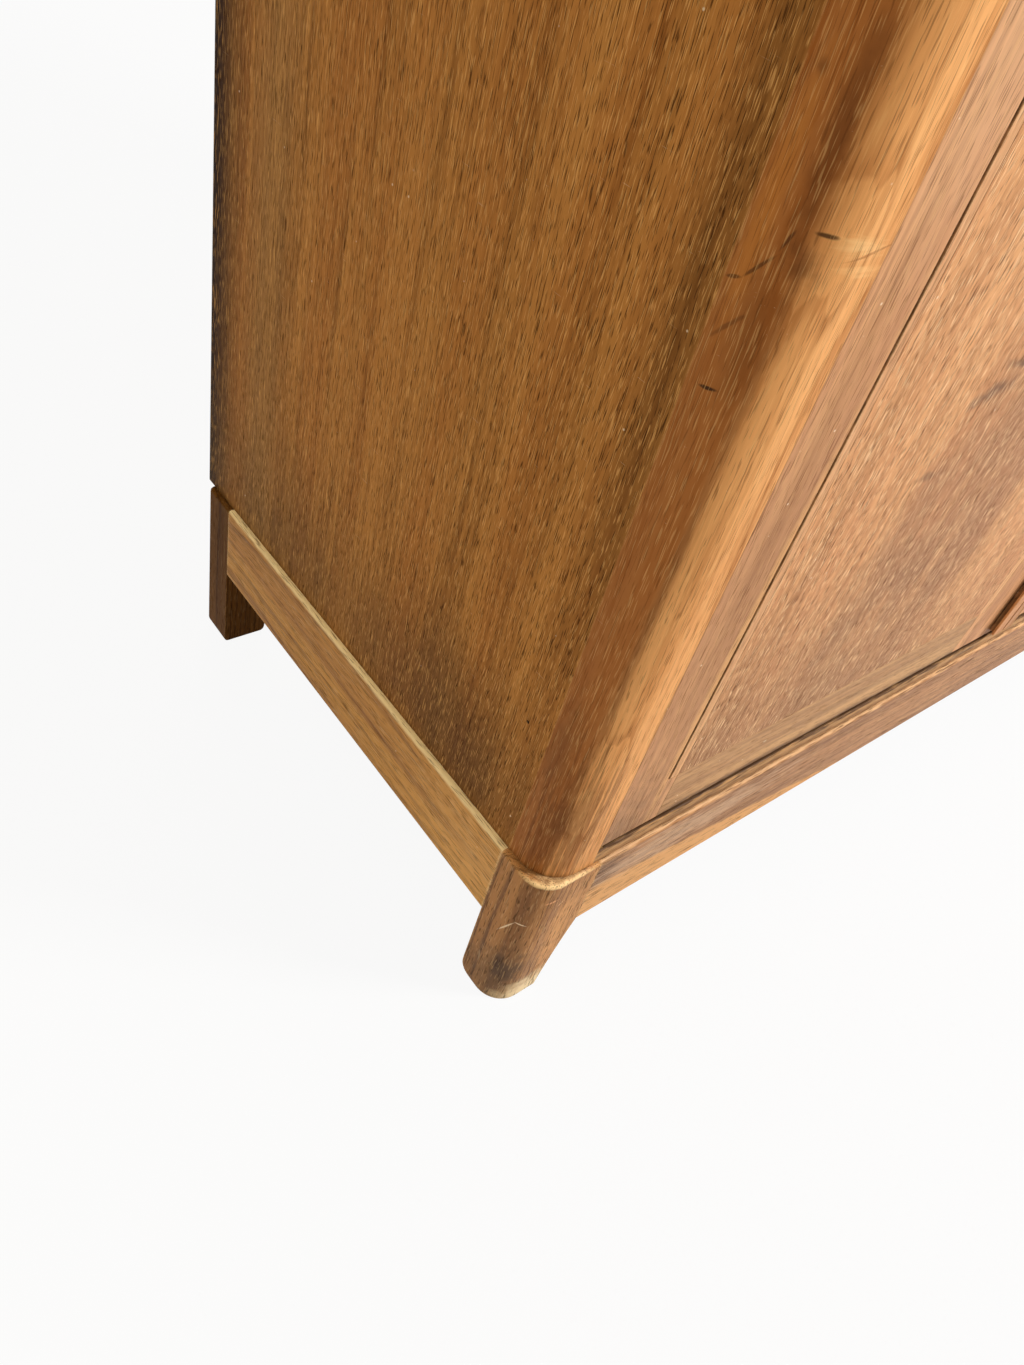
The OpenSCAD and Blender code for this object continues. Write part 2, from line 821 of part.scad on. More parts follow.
// The four pegs that a shelf's underside at height z lies on
module pegs(z) {
  on_both_sides()
    for (y = peg_ys)
      translate([-side_in_x, y, z - peg_r])
        rotate([0, 90, 0]) {
          translate([0, 0, -peg_hole]) cylinder(h = peg_hole + peg_out, r = peg_r);
          cylinder(h = peg_collar_t, r = peg_collar_r);
        }
}

module display_pegs() {
  color([0.80, 0.65, 0.32])
    for (z = glass_shelf_zs) pegs(z);
}

module cupboard_pegs() {
  color([0.80, 0.65, 0.32]) pegs(wood_shelf_z);
}

front_leg(false);  // leg_front_left
front_leg(true);  // leg_front_right
rear_leg(false);  // leg_rear_left
rear_leg(true);  // leg_rear_right
front_rail();  // base_rail_front
rear_rail();  // base_rail_rear
side_rail(false);  // base_rail_left
side_rail(true);  // base_rail_right
corner_blocks();
base_screws();
post(false);  // post_left
post(true);  // post_right
side_panel(false);  // side_panel_left
side_panel(true);  // side_panel_right
bottom_board();
middle_board();
door_stop();
glass_runner();
head_rail();
top();
back_panel(base_h, mid_z + mid_t / 2);  // back_panel_lower
back_panel(mid_z + mid_t / 2, top_z);  // back_panel_upper
hinge_stile(false);  // left_door_hinge_stile
meeting_stile(false);  // left_door_meeting_stile
door_rail(false, false);  // left_door_bottom_rail
door_rail(false, true);  // left_door_top_rail
door_panel(false);  // left_door_panel
door_lippings(false);  // left_door_lippings
door_pull(false);  // left_door_pull
door_pivot_plates(false);  // left_door_pivot_plates
door_keeper(false);  // left_door_keeper
hinge_stile(true);  // right_door_hinge_stile
meeting_stile(true);  // right_door_meeting_stile
door_rail(true, false);  // right_door_bottom_rail
door_rail(true, true);  // right_door_top_rail
door_panel(true);  // right_door_panel
door_lippings(true);  // right_door_lippings
door_pull(true);  // right_door_pull
door_pivot_plates(true);  // right_door_pivot_plates
door_keeper(true);  // right_door_keeper
cabinet_pivots();
door_catches();
sliding_pane(false);  // sliding_pane_left
sliding_pane(true);  // sliding_pane_right
glass_shelf(0);  // glass_shelf_lower
glass_shelf(1);  // glass_shelf_upper
cupboard_shelf();
display_pegs();
cupboard_pegs();
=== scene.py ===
"""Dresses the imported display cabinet: finished wood, glass and fittings, a pale studio and its camera."""

import json
import math
from contextlib import contextmanager

import bmesh
import bpy
from bpy.props import FloatProperty, FloatVectorProperty, PointerProperty
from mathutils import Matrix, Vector


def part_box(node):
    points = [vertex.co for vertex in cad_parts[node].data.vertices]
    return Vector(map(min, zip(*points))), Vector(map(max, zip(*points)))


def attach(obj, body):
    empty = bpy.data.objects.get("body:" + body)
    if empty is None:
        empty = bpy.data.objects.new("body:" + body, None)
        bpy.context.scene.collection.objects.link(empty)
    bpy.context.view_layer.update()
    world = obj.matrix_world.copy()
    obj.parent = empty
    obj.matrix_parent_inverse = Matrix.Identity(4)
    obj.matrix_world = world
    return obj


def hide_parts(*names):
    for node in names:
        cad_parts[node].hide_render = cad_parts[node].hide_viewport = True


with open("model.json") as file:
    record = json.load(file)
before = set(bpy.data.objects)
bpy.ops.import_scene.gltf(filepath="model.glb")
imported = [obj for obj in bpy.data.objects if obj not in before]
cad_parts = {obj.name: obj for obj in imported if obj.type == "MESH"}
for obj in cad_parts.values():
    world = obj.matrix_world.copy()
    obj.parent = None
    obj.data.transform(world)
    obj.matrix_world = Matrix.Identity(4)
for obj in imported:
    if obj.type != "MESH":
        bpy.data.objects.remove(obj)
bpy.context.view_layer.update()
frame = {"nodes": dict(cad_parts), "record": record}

bl_info = {
    "name": "Display Cabinet Dresser",
    "version": (1, 0, 0),
    "blender": (4, 5, 0),
    "location": "View3D > Sidebar > Cabinet",
    "description": "Finishes the display cabinet's wood, glass and fittings, and sets up its studio",
    "category": "Object",
}

MM = 0.001
TOUCH = 0.00002
AXES = ("X", "Y", "Z")
WHITE = (1, 1, 1, 1)
# The colour of grime and of painted shade in joints and crevices
GRIME_AND_SHADE = (40, 25, 14)
SCRATCH = (236, 206, 168)
SPECK = (248, 230, 204)


# Selecting and shaping

def select_only(*pieces):
    """Makes these objects the selection, and the first of them the active one."""
    bpy.ops.object.select_all(action="DESELECT")
    for piece in pieces:
        piece.select_set(True)
    bpy.context.view_layer.objects.active = pieces[0]


def settle(piece):
    """Puts a piece's place into its mesh, so that its object is at the origin, unturned and unscaled."""
    select_only(piece)
    bpy.ops.object.transform_apply(location=True, rotation=True, scale=True)
    return piece


def added(name, operator, **settings):
    """The object that an operator adds, under a name."""
    bpy.ops.object.select_all(action="DESELECT")
    operator(**settings)
    piece = bpy.context.active_object
    piece.name = name
    return piece


def block(name, low, high):
    """A cube primitive at its size and place, ready to be shaped."""
    low, high = Vector(low), Vector(high)
    return settle(added(name, bpy.ops.mesh.primitive_cube_add, size=1, location=(low + high) / 2,
                        scale=high - low))


def near(a, b):
    return abs(a - b) < TOUCH


def at(**place):
    """A test that holds for points that all have these coordinates."""
    return lambda *points: all(near(getattr(point, axis), value) for point in points
                               for axis, value in place.items())


@contextmanager
def editing(piece, mode="FACE", test=None):
    """Edits a piece with those of its parts selected for which a test holds, or else all of them."""
    select_only(piece)
    bpy.ops.object.mode_set(mode="EDIT")
    bpy.ops.mesh.select_mode(type=mode)
    bpy.ops.mesh.select_all(action="DESELECT" if test else "SELECT")
    if test:
        mesh = bmesh.from_edit_mesh(piece.data)
        for part in {"VERT": mesh.verts, "EDGE": mesh.edges, "FACE": mesh.faces}[mode]:
            part.select_set(test(part))
        bmesh.update_edit_mesh(piece.data)
    yield
    bpy.ops.object.mode_set(mode="OBJECT")


def bevel_edges(piece, test, radius, segments=4):
    """Rounds the edges for whose two ends the test holds."""
    with editing(piece, "EDGE", lambda edge: test(*[v.co for v in edge.verts])):
        bpy.ops.mesh.bevel(offset=radius, segments=segments, affect="EDGES", clamp_overlap=True)
    return piece


def cut_through(piece, axis, *places):
    """Cuts new edges through the whole piece, square to an axis, at each of the places."""
    normal = [int(name == axis) for name in AXES]
    for place in places:
        with editing(piece):
            bpy.ops.mesh.bisect(plane_co=[place * n for n in normal], plane_no=normal)


def extrude_faces(piece, test, move):
    """Extrudes the faces for whose centre and normal the test holds."""
    with editing(piece, "FACE", lambda face: test(face.calc_center_median(), face.normal)):
        bpy.ops.mesh.extrude_region_move(TRANSFORM_OT_translate={"value": move})


def apply_modifier(piece, kind, **settings):
    """Adds a modifier with these settings and applies it."""
    select_only(piece)
    modifier = piece.modifiers.new(kind.title(), kind)
    for name, value in settings.items():
        setattr(modifier, name, value)
    bpy.ops.object.modifier_apply(modifier=modifier.name)
    return piece


def ease_edges(piece, width, segments=2):
    """Breaks every sharp edge that is left, and shades the piece smoothly across its roundings."""
    if width > 0:
        apply_modifier(piece, "BEVEL", width=width, segments=segments, limit_method="ANGLE",
                       angle_limit=math.radians(40), use_clamp_overlap=True)
    select_only(piece)
    bpy.ops.object.shade_smooth_by_angle(angle=math.radians(50))
    return apply_modifier(piece, "WEIGHTED_NORMAL", keep_sharp=True, weight=80)


def copied(piece, name, move=(0, 0, 0), scale=(1, 1, 1)):
    """A copy with its own mesh, moved or scaled."""
    select_only(piece)
    bpy.ops.object.duplicate()
    copy = bpy.context.active_object
    copy.name = name
    copy.location = move
    copy.scale = scale
    return settle(copy)


def mirrored(piece, name):
    """A copy on the other side of the middle, with its normals turned out again."""
    copy = copied(piece, name, scale=(-1, 1, 1))
    with editing(copy):
        bpy.ops.mesh.normals_make_consistent(inside=False)
    return copy


def joined(name, pieces):
    """One object made of several."""
    select_only(*pieces)
    bpy.ops.object.join()
    piece = bpy.context.active_object
    piece.name = name
    return piece


def dress(piece, material):
    """Gives a piece this material alone."""
    piece.data.materials.clear()
    piece.data.materials.append(material)


def add_to(piece, body, material):
    """Gives a finished piece a material and puts it on a body."""
    dress(piece, material)
    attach(piece, body)


def stand_for(piece, node, material):
    """Lets a finished piece stand for a node, on the node's body, and hides the node."""
    body = next(b for b, nodes in frame["record"]["behaviour"]["bodies"].items() if node in nodes)
    add_to(piece, body, material)
    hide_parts(node)


def finish_node(node, material):
    """Gives a node that keeps its own shape a better material."""
    dress(frame["nodes"][node], material)


# Shader building

def new_group(name, outputs, **inputs):
    """A shader group's graph with number outputs, and its inputs: a place, then vectors and numbers."""
    tree = bpy.data.node_groups.new(name, "ShaderNodeTree")
    for socket, default in {"Vector": (0, 0, 0), **inputs}.items():
        kind = "NodeSocketFloat" if isinstance(default, float) else "NodeSocketVector"
        made = tree.interface.new_socket(name=socket, in_out="INPUT", socket_type=kind)
        made.default_value = default
    for socket in outputs:
        tree.interface.new_socket(name=socket, in_out="OUTPUT", socket_type="NodeSocketFloat")
    return Graph(tree), tree.nodes.new("NodeGroupInput").outputs


class Graph:
    """Adds nodes to a shader tree, each linked or set in one call."""

    def __init__(self, tree):
        self.tree = tree

    def put(self, kind, inputs=(), **settings):
        """A node of a kind, with its settings, and values or sockets for its inputs."""
        node = self.tree.nodes.new(kind)
        for name, value in settings.items():
            setattr(node, name, value)
        for name, value in dict(inputs).items():
            if isinstance(value, bpy.types.NodeSocket):
                self.tree.links.new(value, node.inputs[name])
            else:
                node.inputs[name].default_value = value
        return node

    def maths(self, operation, a, b=0.0, c=0.0, clamp=False):
        node = self.put("ShaderNodeMath", {0: a, 1: b, 2: c}, operation=operation, use_clamp=clamp)
        return node.outputs[0]

    def times(self, a, b):
        return self.maths("MULTIPLY", a, b)

    def times_plus(self, a, b, c, clamp=False):
        return self.maths("MULTIPLY_ADD", a, b, c, clamp)

    def vectors(self, operation, a, b=(0, 0, 0)):
        node = self.put("ShaderNodeVectorMath", {0: a, 1: b}, operation=operation)
        return node.outputs["Value" if operation in ("LENGTH", "DOT_PRODUCT") else "Vector"]

    def scaled(self, vector, factor):
        return self.put("ShaderNodeVectorMath", {0: vector, "Scale": factor}, operation="SCALE").outputs[0]

    def span(self, value, low, high, to_low=0.0, to_high=1.0, smooth=True):
        """A value carried from one range to another, and held inside it."""
        kind = "SMOOTHSTEP" if smooth else "LINEAR"
        inputs = {"Value": value, "From Min": low, "From Max": high, "To Min": to_low, "To Max": to_high}
        return self.put("ShaderNodeMapRange", inputs, interpolation_type=kind).outputs["Result"]

    def noise(self, vector, scale=1.0, detail=2.0, roughness=0.5, distortion=0.0):
        """The two outputs of a noise: one number, and a colour of three."""
        inputs = {"Vector": vector, "Scale": scale, "Detail": detail, "Roughness": roughness,
                  "Distortion": distortion}
        return self.put("ShaderNodeTexNoise", inputs).outputs

    def mix(self, share, a, b):
        """A share of colour b over colour a."""
        return self.put("ShaderNodeMix", {0: share, 6: a, 7: b}, data_type="RGBA").outputs[2]

    def parts(self, colour):
        """A noise colour's three parts, as three noises of their own."""
        return self.put("ShaderNodeSeparateColor", {0: colour}).outputs

    def bump(self, strength, depth, height):
        """A normal from a height, whose depth is in millimetres."""
        inputs = {"Strength": strength, "Distance": depth * MM, "Height": height}
        return self.put("ShaderNodeBump", inputs).outputs[0]

    def surface(self, inputs):
        """Ends the graph in a principled shader with these inputs."""
        shader = self.put("ShaderNodeBsdfPrincipled", inputs)
        self.put("ShaderNodeOutputMaterial", {"Surface": shader.outputs[0]})

    def group(self, make, **inputs):
        """The outputs of a group, which is made when it is first used."""
        tree = bpy.data.node_groups.get(make.__name__) or make()
        return self.put("ShaderNodeGroup", inputs, node_tree=tree).outputs

    def give(self, **outputs):
        """Ends a group with its outputs, and gives its tree."""
        self.put("NodeGroupOutput", outputs)
        return self.tree


def emptied(owner):
    """The shader graph of a material or a world, with nothing in it."""
    owner.use_nodes = True
    owner.node_tree.nodes.clear()
    return Graph(owner.node_tree)


def new_finish(name):
    """A new material, its graph, and the place on the piece in millimetres."""
    material = bpy.data.materials.new(name)
    graph = emptied(material)
    return material, graph, graph.scaled(graph.put("ShaderNodeTexCoord").outputs["Object"], 1 / MM)


def rgba(colour):
    """An sRGB colour from 0 to 255 as a linear one."""
    def linear(c):
        c /= 255
        return c / 12.92 if c <= 0.04045 else ((c + 0.055) / 1.055) ** 2.4
    return (*[linear(c) for c in colour], 1.0)


def grain_group():
    """Tone bands, rings, fibres and pores of wood whose grain runs along Z, and a ridge beside each pore with a
    painted highlight, in millimetres.
    """
    graph, given = new_group(
        "grain_group", ("Bands", "Hue", "Rings", "Fibres", "Pores", "Flecks", "Height"),
        Pith=(60, 90, 0), Ring_Width=6.0, Waver=5.0, Swirl=0.0, Pore_Length=14.0, Pore_Width=0.9)
    place = given["Vector"]
    sway = graph.noise(graph.vectors("MULTIPLY", place, (1 / 60, 1 / 60, 1 / 300)))["Color"]
    sway = graph.scaled(graph.vectors("SUBTRACT", sway, (0.5, 0.5, 0.5)), given["Waver"])
    bent = graph.vectors("ADD", place, sway)

    tones = graph.noise(graph.vectors("MULTIPLY", bent, (1 / 24, 1 / 24, 1 / 420)), detail=3.0, roughness=0.6)
    tones = graph.parts(tones["Color"])
    bands = graph.span(tones[0], 0.32, 0.68)
    hue = graph.span(tones[1], 0.36, 0.66)

    from_pith = graph.vectors("SUBTRACT", bent, given["Pith"])
    from_pith = graph.vectors("MULTIPLY", from_pith, (1, 1, 0.03))
    turns = graph.maths("DIVIDE", graph.vectors("LENGTH", from_pith), given["Ring_Width"])
    turns = graph.times_plus(tones[2], 2.2, turns)
    turns = graph.maths("ADD", turns, given["Swirl"])
    phase = graph.maths("FRACT", turns)
    rings = graph.times(graph.span(phase, 0.55, 0.92), graph.span(phase, 0.93, 1.0, 1.0, 0.0))

    fine = graph.vectors("MULTIPLY", bent, (1 / 4, 1 / 4, 1 / 190))
    fibres = graph.noise(fine, detail=4.0, roughness=0.72)["Fac"]
    fibres = graph.span(fibres, 0.30, 0.70, smooth=False)

    across = graph.maths("DIVIDE", 1.0, given["Pore_Width"])
    along = graph.maths("DIVIDE", 1.0, given["Pore_Length"])
    stretch = graph.put("ShaderNodeCombineXYZ", {0: across, 1: across, 2: along}).outputs[0]
    streaks_at = graph.vectors("MULTIPLY", bent, stretch)
    pores = graph.noise(streaks_at, detail=1.0, roughness=0.4)["Fac"]
    pores = graph.span(pores, 0.57, 0.68)
    # A ridge beside each pore: raised in the bump, and painted lighter as a painted highlight
    beside = graph.vectors("ADD", streaks_at, (0.45, 0.45, 0.1))
    ridge_highlights = graph.span(graph.noise(beside, detail=1.0, roughness=0.4)["Fac"], 0.57, 0.68)

    height = graph.times_plus(pores, -1.0, graph.times(fibres, 0.35))
    height = graph.times_plus(ridge_highlights, 0.25, height)
    return graph.give(Bands=bands, Hue=hue, Rings=rings, Fibres=fibres, Pores=pores, Flecks=ridge_highlights,
                      Height=height)


def wear_group():
    """Worn edges, grime and painted shade in the joints, scratches and specks, in millimetres."""
    graph, given = new_group("wear_group", ("Worn", "Grime", "Scratches", "Specks"), Edge_Radius=0.0015,
                             Crevice=0.004)
    place = given["Vector"]
    rounded = graph.put("ShaderNodeBevel", {"Radius": given["Edge_Radius"]}, samples=4).outputs[0]
    true_normal = graph.put("ShaderNodeNewGeometry").outputs["Normal"]
    edge = graph.span(graph.vectors("DOT_PRODUCT", rounded, true_normal), 0.985, 0.87)
    chance = graph.parts(graph.noise(place, scale=1 / 9, detail=4.0, roughness=0.65)["Color"])
    worn = graph.times(edge, graph.span(chance[0], 0.36, 0.60))

    # Darkening where other surfaces shut this one in: partly grime, partly painted shade
    open_sky = graph.put("ShaderNodeAmbientOcclusion", {"Distance": given["Crevice"]}, samples=4)
    shut = graph.span(open_sky.outputs["AO"], 0.92, 0.45)
    grime_and_shade = graph.times(shut, graph.span(chance[1], 0.30, 0.60, 0.4, 1.0))

    slant = graph.put("ShaderNodeMapping", {"Vector": place, "Rotation": (0.5, 0.9, 0.3),
                                            "Scale": (1 / 0.5, 1 / 26, 1 / 0.5)}).outputs[0]
    lines = graph.noise(slant, detail=1.0, distortion=0.4)["Fac"]
    scratches = graph.times(graph.span(lines, 0.74, 0.80), graph.span(chance[2], 0.50, 0.60))

    dots = graph.put("ShaderNodeTexVoronoi", {"Vector": place, "Scale": 1 / 12})
    some = graph.parts(dots.outputs["Color"])[1]
    specks = graph.times(graph.span(dots.outputs["Distance"], 0.025, 0.06, 1.0, 0.0),
                         graph.span(some, 0.80, 0.86))
    return graph.give(Worn=worn, Grime=grime_and_shade, Scratches=scratches, Specks=specks)


def patch_group():
    """A soft blot at a place: 1 in its middle, 0 outside its size, with a ragged edge."""
    graph, given = new_group("patch_group", ("Mask",), Centre=(0, 0, 0), Size=(10, 10, 10), Turn=(0, 0, 0),
                             Ragged=0.5, Soft=0.6, Fray=(0.1, 0.1, 0.1))
    place, centre = given["Vector"], given["Centre"]
    turned = graph.put("ShaderNodeVectorRotate", {"Vector": place, "Center": centre,
                                                  "Rotation": given["Turn"]},
                       rotation_type="EULER_XYZ").outputs[0]
    out = graph.vectors("DIVIDE", graph.vectors("SUBTRACT", turned, centre), given["Size"])
    fray = graph.noise(graph.vectors("MULTIPLY", place, given["Fray"]), detail=3.0, roughness=0.6)
    fray = graph.times(graph.maths("SUBTRACT", fray["Fac"], 0.5), given["Ragged"])
    far = graph.maths("ADD", graph.vectors("LENGTH", out), fray)
    inner = graph.maths("SUBTRACT", 1.0, given["Soft"])
    return graph.give(Mask=graph.span(far, inner, 1.0, 1.0, 0.0))


# How a piece is turned in its wood, in which the grain runs along Z, for a grain along each axis
TURN = {"X": (0, -math.pi / 2, 0), "Y": (math.pi / 2, 0, 0), "Z": (0, 0, 0)}


def wood(name, light, dark, pore, tint=None, along="Z", offset=(0, 0, 0), pith=(60, 90, 0), ring=6.0,
         waver=5.0, band_share=0.45, ring_share=0.35, fibre_share=0.45, tint_share=0.4, pore_share=0.5,
         fleck_share=0.2, pore_length=14.0, pore_width=0.9, worn=(222, 176, 120), worn_share=0.6,
         grime_and_shade_share=0.85, edge=1.5, rough=0.5, shine=0.15, relief=0.10, patches=(), swirls=()):
    """A wood finish. Colours are sRGB from 0 to 255, lengths millimetres. Patches are blots of colour,
    and swirls are places where the rings bend out of line."""
    material, graph, place = new_finish(name)
    swirl = 0.0
    for centre, size, amount in swirls:
        bend = graph.group(patch_group, Vector=place, Centre=centre, Size=size, Ragged=0.1,
                           Soft=1.0)["Mask"]
        swirl = graph.times_plus(bend, amount, swirl)
    lie = graph.put("ShaderNodeMapping", {"Vector": place, "Rotation": TURN[along], "Location": offset})
    lie = lie.outputs[0]
    grain = graph.group(grain_group, Vector=lie, Pith=pith, Ring_Width=ring, Waver=waver, Swirl=swirl,
                        Pore_Length=pore_length, Pore_Width=pore_width)
    wear = graph.group(wear_group, Vector=place, Edge_Radius=edge * MM)

    shade = graph.times(grain["Rings"], ring_share)
    shade = graph.times_plus(grain["Bands"], band_share, shade)
    fibres = graph.maths("SUBTRACT", 0.5, grain["Fibres"])
    shade = graph.times_plus(fibres, fibre_share, shade, clamp=True)
    colour = graph.mix(shade, rgba(light), rgba(dark))
    if tint:
        colour = graph.mix(graph.times(grain["Hue"], tint_share), colour, rgba(tint))
    layers = [(graph.group(patch_group, Vector=place, **shape)["Mask"], share, tone)
              for shape, share, tone in patches]
    # The ridges beside the pores get a painted highlight in the worn colour
    layers += [(grain["Pores"], pore_share, pore), (grain["Flecks"], fleck_share, worn),
               # Grime and painted shade darken the joints and crevices
               (wear["Grime"], grime_and_shade_share, GRIME_AND_SHADE), (wear["Worn"], worn_share, worn),
               (wear["Scratches"], 0.4, SCRATCH), (wear["Specks"], 0.7, SPECK)]
    for mask, share, tone in layers:
        colour = graph.mix(graph.times(mask, share), colour, rgba(tone))

    gloss = graph.times_plus(grain["Pores"], 0.22, rough)
    gloss = graph.times_plus(wear["Worn"], 0.12, gloss)
    height = graph.times_plus(wear["Scratches"], -0.3, grain["Height"])
    graph.surface({"Base Color": colour, "Roughness": gloss, "Normal": graph.bump(1.0, relief, height),
                   "Specular IOR Level": shine})
    return material


def blot(centre, size, colour, share, ragged=0.5, soft=0.6, fray=(0.1, 0.1, 0.1), turn=(0, 0, 0)):
    """A blot of colour on wood: its place and half its size in millimetres, how much of the colour it has,
    how ragged and soft its edge is, how finely that frays, and how the blot is turned in degrees."""
    shape = dict(Centre=centre, Size=size, Ragged=ragged, Soft=soft, Fray=fray,
                 Turn=[math.radians(a) for a in turn])
    return shape, share, colour


def metal(name, colour, dark, rough=0.32):
    """A dull metal with tarnish in blots and fine brushing."""
    material, graph, place = new_finish(name)
    tarnish = graph.span(graph.noise(place, scale=1 / 5, detail=4.0)["Fac"], 0.42, 0.68)
    brushed = graph.noise(graph.vectors("MULTIPLY", place, (1 / 12, 1 / 0.4, 1 / 0.4)))["Fac"]
    tone = graph.mix(tarnish, rgba(colour), rgba(dark))
    gloss = graph.times_plus(brushed, 0.15, rough)
    gloss = graph.times_plus(tarnish, 0.25, gloss)
    graph.surface({"Base Color": tone, "Roughness": gloss, "Normal": graph.bump(0.5, 0.03, brushed),
                   "Metallic": 1.0})
    return material


def plastic(name, colour):
    """A moulded dark plastic with a fine pebbled face."""
    material, graph, place = new_finish(name)
    pebble = graph.noise(place, scale=1 / 0.6)["Fac"]
    cloud = graph.noise(place, scale=1 / 14)["Fac"]
    tone = graph.mix(graph.span(cloud, 0.35, 0.7), rgba(colour), rgba([c * 1.35 for c in colour]))
    gloss = graph.times_plus(cloud, 0.2, 0.35)
    graph.surface({"Base Color": tone, "Roughness": gloss, "Normal": graph.bump(0.6, 0.05, pebble)})
    return material


def clear_glass(name, tint, edge_tint, across):
    """Window glass with a faint film of dust. Across its thickness it is clear, and elsewhere ground."""
    material, graph, place = new_finish(name)
    film = graph.noise(place, scale=1 / 70, detail=4.0)["Fac"]
    normal = graph.put("ShaderNodeNewGeometry").outputs["True Normal"]
    facing = graph.maths("ABSOLUTE", graph.vectors("DOT_PRODUCT", normal, across))
    ground = graph.span(facing, 0.9995, 0.985)
    gloss = graph.times(graph.span(film, 0.45, 0.75), 0.03)
    gloss = graph.times_plus(ground, 0.4, gloss)
    tone = graph.mix(ground, rgba(tint), rgba(edge_tint))
    graph.surface({"Base Color": tone, "Roughness": gloss, "Transmission Weight": 1.0, "IOR": 1.5})
    return material


# Settings that a user would change

def length(name, description, millimetres):
    """A length."""
    return FloatProperty(name=name, description=description, default=millimetres * MM, unit="LENGTH")


def power(name, description, watts):
    """A lamp's power."""
    return FloatProperty(name=name, description=description, default=watts, unit="POWER")


class CabinetCamera(bpy.types.PropertyGroup):
    """Where the camera stands and how wide it sees."""
    place: FloatVectorProperty(name="Place", description="Where the camera stands", subtype="TRANSLATION",
                               unit="LENGTH", default=(-0.731088, -0.360521, 0.572354))
    turn: FloatVectorProperty(name="Turn", description="How the camera is turned", subtype="EULER",
                              unit="ROTATION",
                              default=[math.radians(a) for a in (44.6976, -12.5223, -37.5687)])
    lens: FloatProperty(name="Lens", description="Focal length on a 36 mm sensor", default=35.66, min=10,
                        unit="CAMERA")


class CabinetStudio(bpy.types.PropertyGroup):
    """The floor and the lamps."""
    floor_colour: FloatVectorProperty(name="Floor", description="Colour of the floor", subtype="COLOR",
                                      size=4, default=(0.5, 0.5, 0.5, 1.0), min=0, max=1)
    key_power: power("Key Power", "Power of the window light", 86.0)
    fill_power: power("Fill Power", "Power of the fill light", 49.0)
    back_power: power("Back Power", "Power of the light behind", 60.0)
    sky: FloatProperty(name="Sky", description="Strength of the light from all around", default=0.17, min=0)


class CabinetEdges(bpy.types.PropertyGroup):
    """How the wood's edges are rounded."""
    rim: length("Rim", "Rounding along the base frame's top edge", 2.4)
    foot: length("Foot", "Rounding under the feet", 3.2)
    foot_back: length("Foot Back", "Rounding of the front feet's rear lower edge", 8.0)
    lower: length("Rail Underside", "Rounding under the rails", 1.0)
    leg_corner: length("Leg Corner", "Radius of the front corners of base and top", 18.0)
    rear_corner: length("Rear Corner", "Radius of the rear corners of base and top", 4.0)
    post_corner: length("Post Corner", "Radius of the posts' outer corner", 23.6)
    top_edge: length("Top Edge", "Rounding along the upper edge of the top", 6.0)
    pivot_side: length("Pivot Side", "Rounding of a door's edge over its pivots", 3.2)
    pull: length("Pull", "Rounding on the pulls' front edges", 1.0)
    eased: length("Eased", "Rounding of all other edges", 0.35)


class CabinetJoinery(bpy.types.PropertyGroup):
    """Steps, tapers and grooves that the pieces' boxes don't give."""
    leg_taper: length("Leg Taper", "How much a leg narrows towards the floor", 12.0)
    leg_hollow: length("Leg Hollow", "How far the tapered side is hollowed", 1.1)
    rebate: length("Rebate", "Width of the step that holds a door's panel", 8.2)
    pull_lip: length("Pull Lip", "Thickness of a pull's lip", 1.9)
    pull_groove: length("Pull Groove", "Depth of a pull's finger groove", 4.0)
    plate_width: length("Plate Width", "Width of a pivot plate", 9.0)
    plate_thick: length("Plate Thickness", "Thickness of a pivot plate", 2.0)
    screw_radius: length("Screw Radius", "Radius of the small screws' heads", 2.4)
    screw_pitch: length("Screw Pitch", "Distance between a plate's two screws", 13.0)
    catch_spread: length("Catch Spread", "From a catch's middle to its screws", 12.5)
    catch_inset: length("Catch Inset", "From a catch's rear to its screws", 5.0)
    nail_radius: length("Nail Radius", "Radius of the nails' heads in the back", 1.6)
    nail_inset: length("Nail Inset", "How far the nails sit from a back panel's edge", 5.0)
    nail_pitch: length("Nail Pitch", "About how far apart the nails are", 95.0)


def settings():
    return bpy.context.scene.cabinet


class CabinetSettings(bpy.types.PropertyGroup):
    """All settings of the cabinet."""
    camera: PointerProperty(type=CabinetCamera)
    studio: PointerProperty(type=CabinetStudio)
    edges: PointerProperty(type=CabinetEdges)
    joinery: PointerProperty(type=CabinetJoinery)


# The base frame

def leg_material(name, **changes):
    looks = dict(light=(204, 146, 88), dark=(120, 78, 42), pore=(60, 36, 16), tint=(136, 92, 56), ring=4.0,
                 pith=(30, 60, 0), ring_share=0.6, pore_share=0.65, fleck_share=0.3, pore_length=9,
                 pore_width=0.8, grime_and_shade_share=0.45, worn=(232, 190, 138), worn_share=0.9, edge=2.4)
    return wood(name, **{**looks, **changes})


